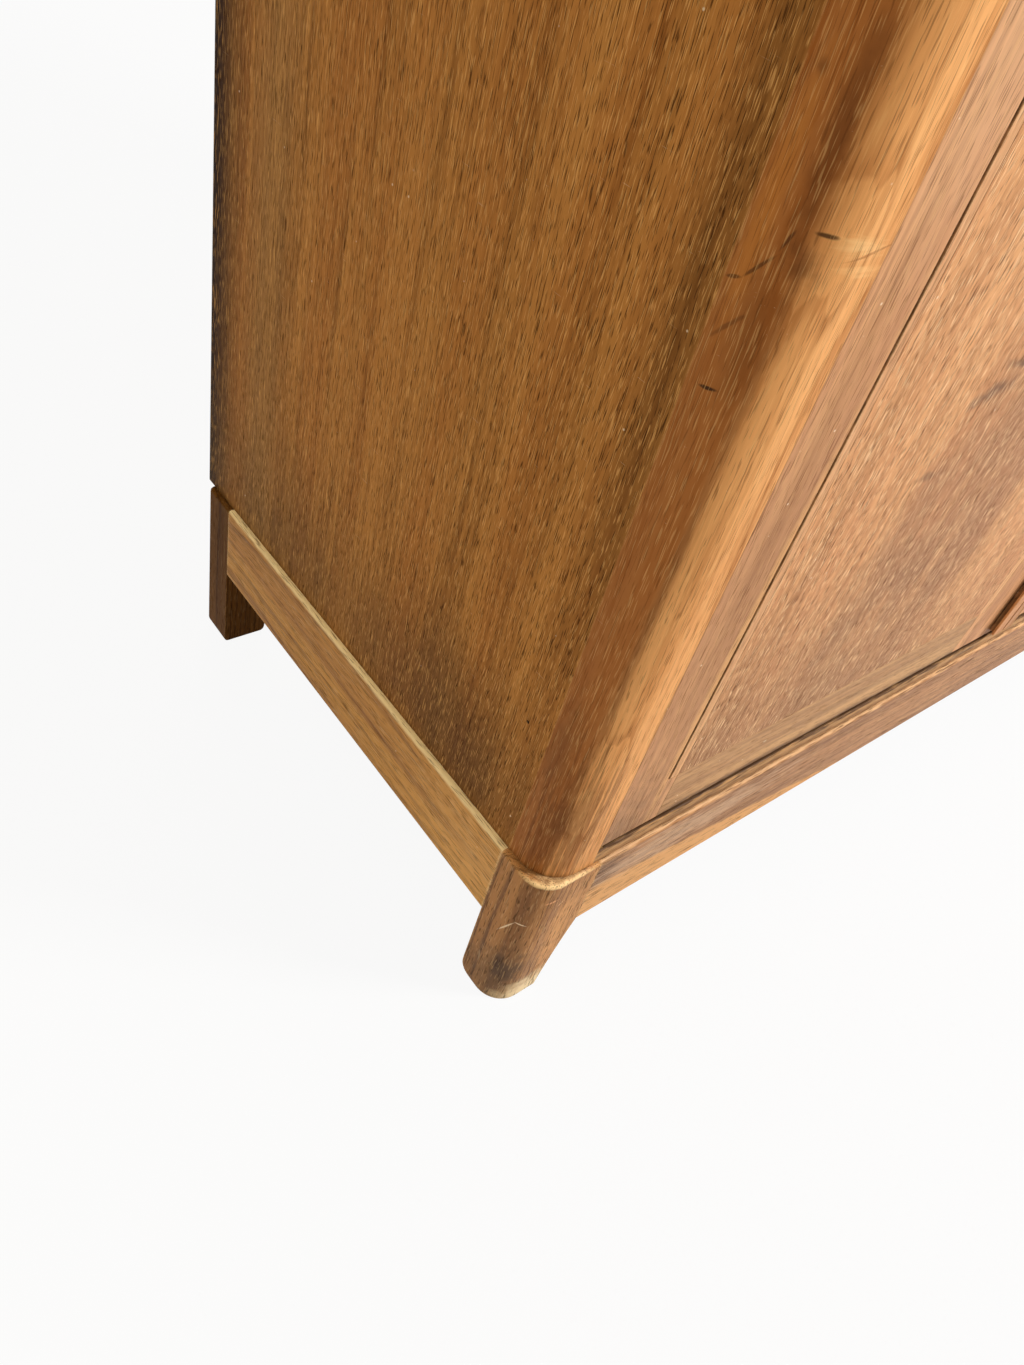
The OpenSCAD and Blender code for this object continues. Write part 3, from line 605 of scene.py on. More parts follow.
def shape_leg(name, node, rear):
    """A leg: rounded outer corner, rim and foot, tapered and hollowed on its inner side."""
    edges, joinery = settings().edges, settings().joinery
    low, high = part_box(node)
    rail_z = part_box("base_rail_front")[0].z
    leg = block(name, low, high)
    outer_y, inner_y = (high.y, low.y) if rear else (low.y, high.y)
    radius = edges.rear_corner if rear else edges.leg_corner
    bevel_edges(leg, at(x=low.x, y=outer_y), radius, 4 if rear else 12)
    levels = 6
    cut_through(leg, "Z", *[rail_z * i / levels for i in range(1, levels + 1)])
    for i in range(levels):
        t = i / levels
        move = joinery.leg_taper * (1 - t) + joinery.leg_hollow * 4 * t * (1 - t)
        level = at(x=high.x, z=rail_z * t)
        with editing(leg, "VERT", lambda vertex: level(vertex.co)):
            bpy.ops.transform.translate(value=(-move, 0, 0))
    if not rear:
        bevel_edges(leg, at(y=inner_y, z=low.z), edges.foot_back, 8)
    plain_sides = [at(x=high.x), at(y=inner_y)] + ([at(y=outer_y)] if rear else [])
    heel_step = 2 * MM

    def rim(a, b):
        return at(z=high.z)(a, b) and not any(side(a, b) for side in plain_sides)

    def sole(a, b):
        across = near(a.y, b.y) and not near(a.y, outer_y)
        middle = (a + b) / 2
        heel = (not rear and middle.z < edges.foot_back and middle.y > inner_y - edges.foot_back
                and abs(a.x - b.x) < heel_step)
        return heel or (at(z=low.z)(a, b) and not across)
    bevel_edges(leg, rim, edges.rim, 4)
    bevel_edges(leg, sole, edges.foot, 4)
    return ease_edges(leg, edges.eased)


def shape_rail(name, node, along, outer):
    """A base rail from its box: rounded rim and lower edge on its outer side."""
    edges = settings().edges
    low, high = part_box(node)
    rail = block(name, low, high)
    corner = low if outer < 0 else high
    side = {"x": corner.x} if along == "Y" else {"y": corner.y}
    bevel_edges(rail, at(z=high.z, **side), edges.rim, 5)
    bevel_edges(rail, at(z=low.z, **side), edges.lower, 3)
    return ease_edges(rail, edges.eased)


# Dirt low down on the front left leg, a worn sole, a pale rim and scratches
LEG_MARKS = (
    blot((-459, -185, 22), (34, 34, 56), (70, 56, 40), 0.55, 1.0, 0.9),
    blot((-455, -190, 36), (13, 13, 22), (52, 38, 28), 0.6, 1.2, 0.9),
    blot((-430, -196, 66), (13, 8, 58), (226, 164, 100), 0.6, 1.2, 0.9),
    blot((-434, -198, -1), (31, 27, 27), (244, 218, 174), 1.0, 0.9),
    blot((-440, -186, 127), (34, 30, 2), (104, 70, 44), 0.8, 0.6, fray=(0.2, 0.2, 0.2)),
    blot((-448, -196, 124.6), (40, 26, 2), (244, 208, 154), 0.95, 0.8, 0.7, fray=(0.3, 0.3, 0.3)),
    blot((-446.4, -196, 109.7), (5, 6, 1.3), (240, 178, 128), 0.8, 1.0, turn=(0, 20, 0)),
    blot((-438, -196, 104), (4, 6, 0.9), (240, 190, 140), 0.6, 1.0, turn=(0, 40, 0)),
    blot((-459.4, -181.3, 75), (4, 0.6, 11.5), (246, 226, 196), 0.85, 0.9, turn=(-25, 0, 0)),
    blot((-456.4, -189, 85.3), (3.5, 4.5, 0.6), (246, 226, 196), 0.9, 0.8),
    blot((-460, -172.4, 30), (4, 0.9, 7), (190, 160, 120), 0.6, 0.9, turn=(10, 0, 0)),
)


class CABINET_OT_legs(bpy.types.Operator):
    """Models the four legs"""
    bl_idname = "cabinet.legs"
    bl_label = "Legs"

    def execute(self, context):
        for where in ("front", "rear"):
            left = shape_leg(f"leg_{where}_left_finished", f"leg_{where}_left", where == "rear")
            right = mirrored(left, f"leg_{where}_right_finished")
            if where == "front":
                material = leg_material("front left leg", offset=(7, 3, 0), patches=LEG_MARKS)
            else:
                # The rear left leg's wood is a darker copy of the legs' own: painted shade, as on the left
                # side's rear edge
                material = leg_material("rear left leg shaded", light=(124, 82, 34), dark=(74, 44, 12),
                                        tint=(84, 52, 20), offset=(31, 9, 40), shine=0.03, worn_share=0.2,
                                        fleck_share=0.1)
            stand_for(left, f"leg_{where}_left", material)
            stand_for(right, f"leg_{where}_right", leg_material(f"{where} right leg", offset=(90, 41, 17)))
        return {"FINISHED"}


class CABINET_OT_base_rails(bpy.types.Operator):
    """Models the four rails between the legs"""
    bl_idname = "cabinet.base_rails"
    bl_label = "Base Rails"

    def execute(self, context):
        # A pale line along the side rails' rounded top edge: partly wear, partly a painted highlight of light
        # from above
        rim_highlight_and_wear = blot((0, 0, 127.2), (3000, 3000, 3.8), (255, 232, 184), 1.0, 0.4, fray=(0.2, 0.08, 0.2))
        light_end = blot((-458, -150, 96), (30, 110, 60), (246, 190, 120), 0.5, 0.8, 0.95)
        # A frayed pale line along the front and rear rails' top edge: partly wear, partly a painted highlight
        frayed_rim_highlight_and_wear = blot((0, 0, 128), (3000, 3000, 4.5), (222, 178, 132), 0.8, 1.8, fray=(0.04, 0.3, 0.3))
        dark_left = blot((-410, -196, 116), (26, 30, 26), (92, 66, 48), 0.7, 1.2, 0.9)
        sapwood = blot((-415, -196, -99), (4000, 4000, 200), (232, 172, 106), 0.85, 0.03, 0.015,
                       turn=(0, -6.75, 0))
        scuffed = blot((-340, -196, 108), (120, 30, 15), (214, 178, 146), 0.55, 2.4, fray=(0.03, 0.3, 0.3))
        side = dict(light=(216, 158, 80), dark=(134, 84, 34), pore=(88, 50, 20), tint=(180, 122, 66),
                    ring=4.2, pith=(10, 52, 0), waver=14.0, ring_share=0.52, band_share=0.25, fibre_share=0.6,
                    pore_share=0.65, pore_width=0.6, worn=(255, 230, 186), worn_share=0.9, grime_and_shade_share=0.0,
                    patches=(light_end, rim_highlight_and_wear))
        front = dict(light=(190, 138, 94), dark=(128, 86, 54), pore=(74, 46, 28), tint=(148, 106, 76),
                     ring=5.0, pith=(8, 30, 0), fibre_share=0.8, pore_share=0.7, fleck_share=0.5,
                     pore_width=0.7, worn=(224, 178, 128), worn_share=0.5,
                     patches=(sapwood, dark_left, scuffed, frayed_rim_highlight_and_wear))
        for where, along, outer, looks, offset in (
                ("left", "Y", -1, side, (0, 0, 0)), ("right", "Y", 1, side, (140, 20, 90)),
                ("front", "X", -1, front, (0, 0, 0)), ("rear", "X", 1, front, (60, 33, 210))):
            node = f"base_rail_{where}"
            stand_for(shape_rail(f"{node}_finished", node, along, outer), node,
                      wood(f"base rail {where}", along=along, offset=offset, edge=2.4, **looks))
        return {"FINISHED"}


# The carcass

# Painted shade that darkens both posts' sides up to where the light falls off their rounding, and on the left
# post a knot, stains, nicks and streaks
POST_SIDE_SHADE = dict(size=(1000, 1000, 50000), colour=(142, 78, 24), share=0.8, ragged=0.008, soft=0.009,
             fray=(0.05, 0.05, 0.004))
POST_MARKS_AND_SHADE = (
    blot((-1154, 518, 0), **POST_SIDE_SHADE),
    blot((-456, -168.9, 478), (8, 6.5, 60), (200, 130, 60), 0.5, 0.6, 0.8),
    blot((-453, -181, 497), (6, 7, 50), (92, 48, 18), 0.6, 0.8, 0.9),
    blot((-438, -193, 472), (18, 5, 4.5), (255, 216, 154), 0.5, 2.0, 0.95, fray=(0.06, 0.1, 0.5)),
    blot((-430, -193, 464), (15, 5, 3), (255, 210, 146), 0.4, 2.0, 0.95, fray=(0.06, 0.1, 0.5)),
    blot((-448, -188, 170), (18, 22, 56), (92, 52, 22), 0.42, 3.4, 0.35, fray=(0.5, 0.5, 0.012)),
    blot((-452, -186, 174), (9, 12, 22), (112, 66, 30), 0.5, 1.6, 0.9),
    blot((-456, -172, 214), (7, 12, 60), (112, 68, 32), 0.45, 1.4, 0.9),
    blot((-454, -180, 436), (9, 12, 46), (104, 60, 24), 0.4, 0.8, 0.95),
    blot((-451, -185, 462), (7, 8, 9), (88, 46, 18), 0.6, 1.4, 0.9),
    blot((-454, -179.2, 469), (4, 5, 0.7), (70, 38, 16), 0.7, 1.0, turn=(72, 0, 0)),
    blot((-455.4, -174, 458.5), (6, 8, 0.8), (70, 38, 16), 0.7, 1.0, turn=(52, 0, 0)),
    blot((-456, -166, 451.3), (6, 4, 0.8), (70, 38, 16), 0.7, 1.0, turn=(20, 0, 0)),
    blot((-455.4, -171, 437), (6, 9, 1.2), (80, 44, 20), 0.5, 1.6, turn=(51, 0, 0)),
    blot((-427, -193, 470), (14, 5, 0.6), (150, 84, 38), 0.5, 1.2, turn=(0, 14, 0)),
    blot((-448, -187.2, 473.5), (4.6, 5, 1), (48, 28, 14), 0.85, 1.2),
    blot((-455.9, -169.2, 513.2), (4, 4, 4), (84, 48, 24), 0.5, 1.8, 0.9),
    blot((-455.5, -172.7, 414.7), (3, 5, 0.9), (44, 26, 14), 0.9, 1.2, turn=(12, 0, 0)),
    blot((-450, -185, 330), (3, 3, 180), (104, 58, 24), 0.5, 1.6, 0.9, fray=(0.2, 0.2, 0.02)),
)
# Where the left post's rings bend round a knot: centre, half size, and by how many rings
POST_SWIRLS = (((-452, -187, 472), (50, 50, 45), 0.9), ((-456, -170, 427), (40, 30, 40), 0.7),
               ((-450, -186, 205), (40, 40, 60), 1.2))


class CABINET_OT_posts(bpy.types.Operator):
    """Models the rounded corner posts"""
    bl_idname = "cabinet.posts"
    bl_label = "Corner Posts"

    def execute(self, context):
        low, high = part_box("post_left")
        post = block("post_left_finished", low, high)
        bevel_edges(post, at(x=low.x, y=low.y), settings().edges.post_corner, 28)
        ease_edges(post, 0)
        looks = dict(light=(242, 180, 116), dark=(160, 98, 46), pore=(96, 54, 22), tint=(216, 138, 74),
                     ring=7.0, waver=9.0, band_share=0.4, ring_share=0.4, fibre_share=0.75, tint_share=0.3,
                     pore_share=0.45, fleck_share=0.25, pore_length=12, pore_width=0.55, relief=0.05,
                     worn=(255, 206, 140), worn_share=0.3, shine=0.1)
        # The right post takes the same painted shade on its side
        stand_for(mirrored(post, "post_right_finished"), "post_right",
                  wood("right post", offset=(77, 40, 300), pith=(-500, -150, 0),
                       patches=(blot((1154, 518, 0), **POST_SIDE_SHADE),), **looks))
        stand_for(post, "post_left", wood("left post", pith=(-405, -120, 0), patches=POST_MARKS_AND_SHADE,
                                          swirls=POST_SWIRLS, **looks))
        return {"FINISHED"}


# Painted sheen as a grey band a little in from the left side's rear edge, painted shade as a dark band along
# that edge, a dark band along its front edge, damp along its foot, and a hole
SIDE_MARKS_SHEEN_AND_SHADE = (
    # Painted sheen: a grey band a little in from the rear edge
    blot((-456, 130, 300), (30, 36, 2000), (150, 118, 76), 0.4, 0.5, 0.9),
    # Painted shade along the rear edge
    blot((-456, 216, 300), (30, 68, 2000), (34, 14, 0), 1.0, 0.1, 0.7, fray=(0.03, 0.03, 0.004)),
    blot((-456, 110, 140), (30, 190, 110), (98, 72, 38), 0.5, 1.0, 0.95, fray=(0.03, 0.02, 0.01)),
    blot((-456, -100, 146), (30, 150, 100), (88, 60, 36), 0.7, 0.8, 0.95, fray=(0.02, 0.02, 0.01)),
    blot((-456, -156, 450), (30, 26, 330), (84, 54, 26), 0.45, 0.7, 0.95, fray=(0.1, 0.1, 0.006)),
    blot((-456, -146.5, 214.2), (3, 1.1, 1.1), (16, 10, 6), 1.0, 0.0, 0.3),
)


class CABINET_OT_side_panels(bpy.types.Operator):
    """Finishes the side panels"""
    bl_idname = "cabinet.side_panels"
    bl_label = "Side Panels"

    def execute(self, context):
        looks = dict(light=(190, 132, 70), dark=(124, 78, 34), pore=(54, 26, 6), tint=(168, 100, 46),
                     ring=17.0, waver=8.0, band_share=0.35, ring_share=0.15, fibre_share=1.0, tint_share=0.3,
                     pore_share=0.75, fleck_share=0.55, pore_length=8, pore_width=0.55, relief=0.12,
                     worn=(236, 180, 112), worn_share=0.3, shine=0.04)
        finish_node("side_panel_left", wood("left side panel", pith=(-700, 0, 0), patches=SIDE_MARKS_SHEEN_AND_SHADE,
                                            **looks))
        finish_node("side_panel_right", wood("right side panel", pith=(800, 60, 0), offset=(9, 31, 77),
                                             **looks))
        return {"FINISHED"}


class CABINET_OT_boards(bpy.types.Operator):
    """Finishes the boards, battens, runners and shelf inside the carcass"""
    bl_idname = "cabinet.boards"
    bl_label = "Boards"

    def execute(self, context):
        looks = dict(light=(180, 132, 90), dark=(120, 82, 52), pore=(78, 50, 32), pith=(20, 50, 0), along="X")
        # The lip below the doors is darkened: painted shade under the doors, with some dirt
        lip = blot((0, -196, 136), (3000, 14, 9), (72, 46, 24), 0.9, fray=(0.05, 0.3, 0.3))
        edge = blot((0, -196, 132), (3000, 5, 5), (198, 150, 98), 0.8, 2.0, fray=(0.05, 0.4, 0.4))
        for i, node in enumerate(("bottom_board", "middle_board", "door_stop", "glass_runner", "head_rail",
                                  "cupboard_shelf")):
            finish_node(node, wood(node.replace("_", " "), offset=(13 * i, 7 * i, 111 * i),
                                   patches=(lip, edge) if node == "bottom_board" else (), **looks))
        return {"FINISHED"}


class CABINET_OT_top(bpy.types.Operator):
    """Models the top"""
    bl_idname = "cabinet.top"
    bl_label = "Top"

    def execute(self, context):
        edges = settings().edges
        low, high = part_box("top")
        top = block("top_finished", low, high)
        for y, radius, segments in ((low.y, edges.leg_corner, 12), (high.y, edges.rear_corner, 4)):
            bevel_edges(top, lambda a, b: not near(a.z, b.z) and at(y=y)(a, b), radius, segments)
        for z, radius, segments in ((high.z, edges.top_edge, 6), (low.z, edges.rim, 4)):
            bevel_edges(top, lambda a, b: at(z=z)(a, b) and not at(y=high.y)(a, b), radius, segments)
        ease_edges(top, edges.eased)
        stand_for(top, "top", wood("top board", light=(196, 140, 86), dark=(132, 86, 46), pore=(84, 52, 28),
                                   along="X", pith=(120, -1500, 0), ring=9.0, waver=12.0, edge=2.4))
        return {"FINISHED"}


class CABINET_OT_back(bpy.types.Operator):
    """Finishes the back panels and the corner blocks"""
    bl_idname = "cabinet.back"
    bl_label = "Back"

    def execute(self, context):
        ply = dict(light=(206, 164, 112), dark=(160, 118, 74), pore=(112, 78, 48), ring=14.0, waver=20.0,
                   ring_share=0.6, pore_share=0.3, rough=0.62, relief=0.05, grime_and_shade_share=0.5)
        finish_node("back_panel_lower", wood("lower back panel", pith=(40, 160, 0), **ply))
        finish_node("back_panel_upper", wood("upper back panel", pith=(-60, 170, 0), offset=(50, 0, 90),
                                             **ply))
        pine = dict(light=(222, 182, 126), dark=(186, 136, 80), pore=(150, 100, 56), ring=4.0,
                    pore_share=0.15, rough=0.62, relief=0.04, grime_and_shade_share=0.4)
        finish_node("corner_blocks", wood("pine blocks", pith=(20, 40, 0), **pine))
        return {"FINISHED"}


# The doors

def frame_material(name, **changes):
    looks = dict(light=(222, 166, 118), dark=(156, 106, 68), pore=(96, 58, 34), tint=(186, 130, 96), ring=8.0,
                 waver=6.0, ring_share=0.3, fibre_share=0.65, fleck_share=0.3, pore_length=12, pore_width=0.6,
                 relief=0.06, worn_share=0.3, edge=0.8)
    return wood(name, **{**looks, **changes})


def both_doors(piece, part, material_of):
    """Sets a piece that was made for the left door in both doors."""
    right = mirrored(piece, f"right_door_{part}_finished")
    stand_for(piece, f"left_door_{part}", material_of("left"))
    stand_for(right, f"right_door_{part}", material_of("right"))


# Painted shade on the inside of the gap between the left door's hinge stile and its panel
PANEL_GAP_SHADE = blot(((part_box("left_door_hinge_stile")[1].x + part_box("left_door_lippings")[0].x) / 2 / MM,
                  -181, 428), (3.0, 10.95, 700), (22, 13, 8), 1.0, 0.0, 0.1)
# Darker and paler stretches of the hinge stile, dirt at its foot, and the painted shade in the gap to its panel
STILE_MARKS_AND_GAP_SHADE = (
    blot((-398, -192, 290), (50, 30, 220), (150, 104, 70), 0.42, 0.4, 0.9),
    blot((-398, -192, 540), (50, 30, 110), (240, 192, 150), 0.4, 0.4, 0.9),
    blot((-384, -192, 260), (5, 30, 230), (234, 180, 118), 0.6, 0.8, 0.9),
    blot((-419.5, -192, 150), (1.6, 6, 130), (56, 36, 22), 0.8, 0.8, 0.8),
    blot((-415, -192, 120), (60, 30, 90), (122, 92, 66), 0.65, 0.9, 0.9),
    PANEL_GAP_SHADE,
)
# A pale nick, and a lower edge darkened by painted shade under the door and by some dirt
DOOR_FOOT_MARKS_AND_SHADE = (
    blot((-290, -192, 159.4), (2.5, 30, 1.2), (250, 236, 206), 0.9, 0.6),
    blot((0, -196, 138), (3000, 8, 7), (96, 68, 44), 0.85, 0.9, fray=(0.05, 0.3, 0.3)),
)


class CABINET_OT_door_frames(bpy.types.Operator):
    """Models the stiles and rails of both doors, stepped for their panels"""
    bl_idname = "cabinet.door_frames"
    bl_label = "Door Frames"

    def execute(self, context):
        edges, rebate = settings().edges, settings().joinery.rebate
        step_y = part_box("left_door_panel")[1].y
        step_z = (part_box("left_door_bottom_rail")[1].z - rebate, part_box("left_door_top_rail")[0].z + rebate)
        between_stiles = (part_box("left_door_hinge_stile")[1].x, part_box("left_door_meeting_stile")[0].x)
        rail = dict(light=(206, 160, 112), dark=(140, 102, 68), tint=(182, 130, 90), fibre_share=0.8,
                    fleck_share=0.35, pore_length=9, along="X")
        for part, inward, looks, offset in (
                ("hinge_stile", Vector((1, 0, 0)), dict(patches=STILE_MARKS_AND_GAP_SHADE), 0),
                ("meeting_stile", Vector((-1, 0, 0)), {}, 37),
                ("bottom_rail", Vector((0, 0, 1)), dict(rail, patches=DOOR_FOOT_MARKS_AND_SHADE), 71),
                ("top_rail", Vector((0, 0, -1)), rail, 113)):
            low, high = (Vector(corner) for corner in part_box(f"left_door_{part}"))
            is_stile = bool(inward.x)
            if not is_stile:
                low.x, high.x = between_stiles
            if inward.x + inward.z > 0:
                high -= rebate * inward
            else:
                low -= rebate * inward
            piece = block(f"left_door_{part}_finished", low, high)
            if part == "hinge_stile":
                bevel_edges(piece, at(x=low.x, y=low.y), edges.pivot_side, 6)
            cut_through(piece, "Y", step_y)
            cut_through(piece, "Z", *(step_z if is_stile else ()))
            extrude_faces(piece, lambda centre, normal: normal.dot(inward) > 0.9 and (
                centre.y > step_y or is_stile and not step_z[0] < centre.z < step_z[1]), rebate * inward)
            ease_edges(piece, edges.eased)
            both_doors(piece, part, lambda side: frame_material(
                f"{side} door {part}", pith=(30, 80, 0),
                offset=(offset, offset / 2, offset + 50 * (side == "right")), **looks))
        return {"FINISHED"}


# The left door's panel, darker towards its foot, and what use left on it: stains, smudges and a scratch
PANEL_MARKS = (
    blot((-215, -192, 350), (100, 30, 180), (142, 98, 70), 0.6, 1.5, 0.9, fray=(0.02, 0.02, 0.012)),
    blot((-250, -192, 170), (260, 30, 170), (130, 92, 62), 0.6, 0.8, 0.95, fray=(0.02, 0.02, 0.012)),
    blot((-268, -192, 393), (30, 30, 6), (66, 48, 42), 0.6, 2.2, 0.9, turn=(0, 12, 0)),
    blot((-250, -192, 404), (34, 30, 4), (66, 48, 42), 0.6, 2.2, 0.9, turn=(0, -8, 0)),
    blot((-287, -192, 350), (14, 30, 4), (76, 54, 42), 0.45, 2.2, 0.9),
    blot((-381, -192, 318), (6, 30, 8), (84, 60, 40), 0.6, 1.4, 0.9),
    blot((-379, -192, 251), (7, 30, 6), (84, 60, 40), 0.6, 1.4, 0.9),
    blot((-288, -192, 224), (16, 30, 0.5), (96, 62, 38), 0.7, 0.9, turn=(0, 15, 0)),
)


class CABINET_OT_door_panels(bpy.types.Operator):
    """Models the doors' veneered panels and their solid lippings"""
    bl_idname = "cabinet.door_panels"
    bl_label = "Door Panels"

    def execute(self, context):
        eased = settings().edges.eased
        low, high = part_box("left_door_panel")
        panel = ease_edges(block("left_door_panel_finished", low, high), eased / 2)
        both_doors(panel, "panel", lambda side: wood(
            f"{side} door panel", light=(224, 166, 114), dark=(164, 110, 68), pore=(96, 56, 32),
            tint=(202, 134, 90), ring=15.0, waver=8.0, ring_share=0.15, fibre_share=0.9, pore_share=0.75,
            fleck_share=0.68, relief=0.12, worn=(255, 214, 166), pith=(0, 500, 0), pore_length=8,
            pore_width=0.6, offset=(0, 0, 100 * (side == "right")), worn_share=0.0, edge=0.5,
            patches=PANEL_MARKS))
        outer_low, outer_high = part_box("left_door_lippings")
        first = block("lipping", outer_low, (low.x, outer_high.y, outer_high.z))
        second = block("lipping", (high.x, outer_low.y, outer_low.z), outer_high)
        lippings = joined("left_door_lippings_finished", (first, second))
        ease_edges(lippings, eased)
        # The lippings take the same painted shade inside the gap
        both_doors(lippings, "lippings", lambda side: frame_material(
            f"{side} door lippings", light=(236, 182, 130), dark=(190, 136, 90), offset=(11, 7, 0),
            pith=(90, 60, 0), fibre_share=0.6, worn=(250, 214, 168), worn_share=0.8, edge=1.2,
            patches=(PANEL_GAP_SHADE,)))
        return {"FINISHED"}


class CABINET_OT_door_pulls(bpy.types.Operator):
    """Models the full-height pulls: a lip with rounded edges, and a web behind it beside a finger groove"""
    bl_idname = "cabinet.door_pulls"
    bl_label = "Door Pulls"

    def execute(self, context):
        edges, joinery = settings().edges, settings().joinery
        low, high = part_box("left_door_pull")
        lip_y = low.y + joinery.pull_lip
        groove_x = low.x + joinery.pull_groove
        pull = block("left_door_pull_finished", low, (high.x, lip_y, high.z))
        cut_through(pull, "X", groove_x)
        extrude_faces(pull, lambda c, n: n.y > 0.9 and c.x > groove_x, (0, high.y - lip_y, 0))
        bevel_edges(pull, lambda a, b: at(x=low.x, y=low.y)(a, b) or at(x=high.x, y=low.y)(a, b),
                    edges.pull, 4)
        bevel_edges(pull, at(x=groove_x, y=lip_y), joinery.pull_lip * 0.8, 5)
        ease_edges(pull, edges.eased)
        both_doors(pull, "pull", lambda side: frame_material(
            f"{side} door pull", light=(214, 152, 98), dark=(160, 102, 58), offset=(5, 19, 0), worn_share=0.7,
            worn=(238, 200, 150), pith=(40, 60, 0)))
        return {"FINISHED"}


# Fittings and glass

def facing(piece, direction):
    """Turns a piece that was made facing up, so that it faces a direction."""
    piece.rotation_euler = Vector(direction).to_track_quat("Z", "Y").to_euler()
    return settle(piece)


def disc(radius, thick, proud, edge, sides):
    """A disc facing up, its rounded face a little over the origin."""
    piece = added("disc", bpy.ops.mesh.primitive_cylinder_add, vertices=sides, radius=radius, depth=thick,
                  location=(0, 0, proud - thick / 2))
    return bevel_edges(settle(piece), at(z=proud), edge, 2)


def screw_head(radius, direction):
    """A slotted countersunk head at the origin, its face a little out of it."""
    slot, slot_depth, proud = 0.35 * MM, 0.5 * MM, 0.12 * MM
    head = disc(radius, 0.8 * MM, proud, 0.1 * MM, 28)
    cut_through(head, "X", -slot, slot)
    extrude_faces(head, lambda c, n: n.z > 0.9 and abs(c.x) < slot, (0, 0, -slot_depth))
    ease_edges(head, 0)
    return facing(head, direction)


def nail_head(radius, direction):
    """A flat wire nail's head at the origin, all but flush."""
    head = disc(radius, 0.6 * MM, 0.05 * MM, 0.04 * MM, 16)
    ease_edges(head, 0)
    return facing(head, direction)


def spread(head, name, places):
    """One object of a head's copies at several places."""
    pieces = [copied(head, name, place) for place in places]
    bpy.data.objects.remove(head)
    return joined(name, pieces)


def evenly(low, high, pitch):
    """Places from low to high, about a pitch apart."""
    steps = max(1, round((high - low) / pitch))
    return [low + (high - low) * i / steps for i in range(steps + 1)]


class CABINET_OT_fasteners(bpy.types.Operator):
    """Models the screws in the pivot plates, keepers and catches, and the nails in the back"""
    bl_idname = "cabinet.fasteners"
    bl_label = "Fasteners"

    def execute(self, context):
        steel = metal("bright steel", (190, 186, 178), (132, 122, 108))
        pivots = self.plate_screws("cabinet_pivots", settings().joinery.plate_thick, 1)
        for pieces, name, body in ((self.door_screws(), "{}_door_plate_screws", "{}_door"),
                                   (pivots, "cabinet_pivot_screws_{}", "cabinet"),
                                   (self.catch_screws(), "catch_screws_{}", "cabinet")):
            left = joined(name.format("left"), pieces)
            right = mirrored(left, name.format("right"))
            add_to(left, body.format("left"), steel)
            add_to(right, body.format("right"), steel)
        self.nails(steel)
        return {"FINISHED"}

    def plate_screws(self, node, inset, up):
        """Two screws in the tail of each left plate. The lower plate's face up if up is 1, and the upper
        plate's face the other way. They stand an inset in from the plates' outer faces."""
        low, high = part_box(node)
        joinery = settings().joinery
        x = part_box("left_door_pivot_plates")[1].x - joinery.plate_width / 2
        y = high.y - joinery.plate_width / 2
        return [spread(screw_head(joinery.screw_radius, (0, 0, way)), "plate_screws",
                       [(x - i * joinery.screw_pitch, y, z) for i in range(2)])
                for z, way in ((low.z + inset, up), (high.z - inset, -up))]

    def door_screws(self):
        """The left door's plate screws, and the rivet in its keeper."""
        low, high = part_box("left_door_keeper")
        rivet = nail_head(settings().joinery.nail_radius, (0, 1, 0))
        rivet.location = ((low.x + high.x) / 2, high.y, (low.z + high.z) / 2)
        return [*self.plate_screws("left_door_pivot_plates", 0, -1), settle(rivet)]

    def catch_screws(self):
        """Two screws under the left catch, whose middle is the keeper's."""
        joinery = settings().joinery
        low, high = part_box("door_catches")
        keeper_low, keeper_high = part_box("left_door_keeper")
        middle = (keeper_low.x + keeper_high.x) / 2
        return [spread(screw_head(joinery.screw_radius, (0, 0, -1)), "catch_screws",
                       [(middle + side * joinery.catch_spread, high.y - joinery.catch_inset, low.z)
                        for side in (-1, 1)])]

    def nails(self, steel):
        """A row of nails round each back panel's edge."""
        joinery = settings().joinery
        for node in ("back_panel_lower", "back_panel_upper"):
            low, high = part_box(node)
            inset = joinery.nail_inset
            xs = evenly(low.x + inset, high.x - inset, joinery.nail_pitch)
            zs = evenly(low.z + inset, high.z - inset, joinery.nail_pitch)
            places = [(x, high.y, z) for x in xs for z in (zs[0], zs[-1])]
            places += [(x, high.y, z) for x in (xs[0], xs[-1]) for z in zs[1:-1]]
            nails = spread(nail_head(joinery.nail_radius, (0, 1, 0)), f"{node}_nails", places)
            add_to(nails, "cabinet", steel)


class CABINET_OT_fittings(bpy.types.Operator):
    """Finishes the pivots, plates, catches, pegs and screws"""
    bl_idname = "cabinet.fittings"
    bl_label = "Fittings"

    def execute(self, context):
        brass = metal("dull brass", (206, 170, 96), (132, 98, 48))
        steel = metal("dull steel", (176, 172, 164), (118, 108, 96))
        for node in ("cabinet_pivots", "left_door_pivot_plates", "right_door_pivot_plates", "display_pegs",
                     "cupboard_pegs"):
            finish_node(node, brass)
        for node in ("base_screws", "left_door_keeper", "right_door_keeper"):
            finish_node(node, steel)
        finish_node("door_catches", plastic("brown plastic", (52, 34, 24)))
        return {"FINISHED"}


class CABINET_OT_glass(bpy.types.Operator):
    """Finishes the sliding panes and the glass shelves: clear faces, ground edges and grips"""
    bl_idname = "cabinet.glass"
    bl_label = "Glass"

    def execute(self, context):
        for kind, across, nodes in (("pane", (0, 1, 0), ("sliding_pane_left", "sliding_pane_right")),
                                    ("shelf", (0, 0, 1), ("glass_shelf_lower", "glass_shelf_upper"))):
            glass = clear_glass(f"{kind} glass", (250, 253, 252), (176, 214, 200), across)
            for node in nodes:
                finish_node(node, glass)
        return {"FINISHED"}


# The stage

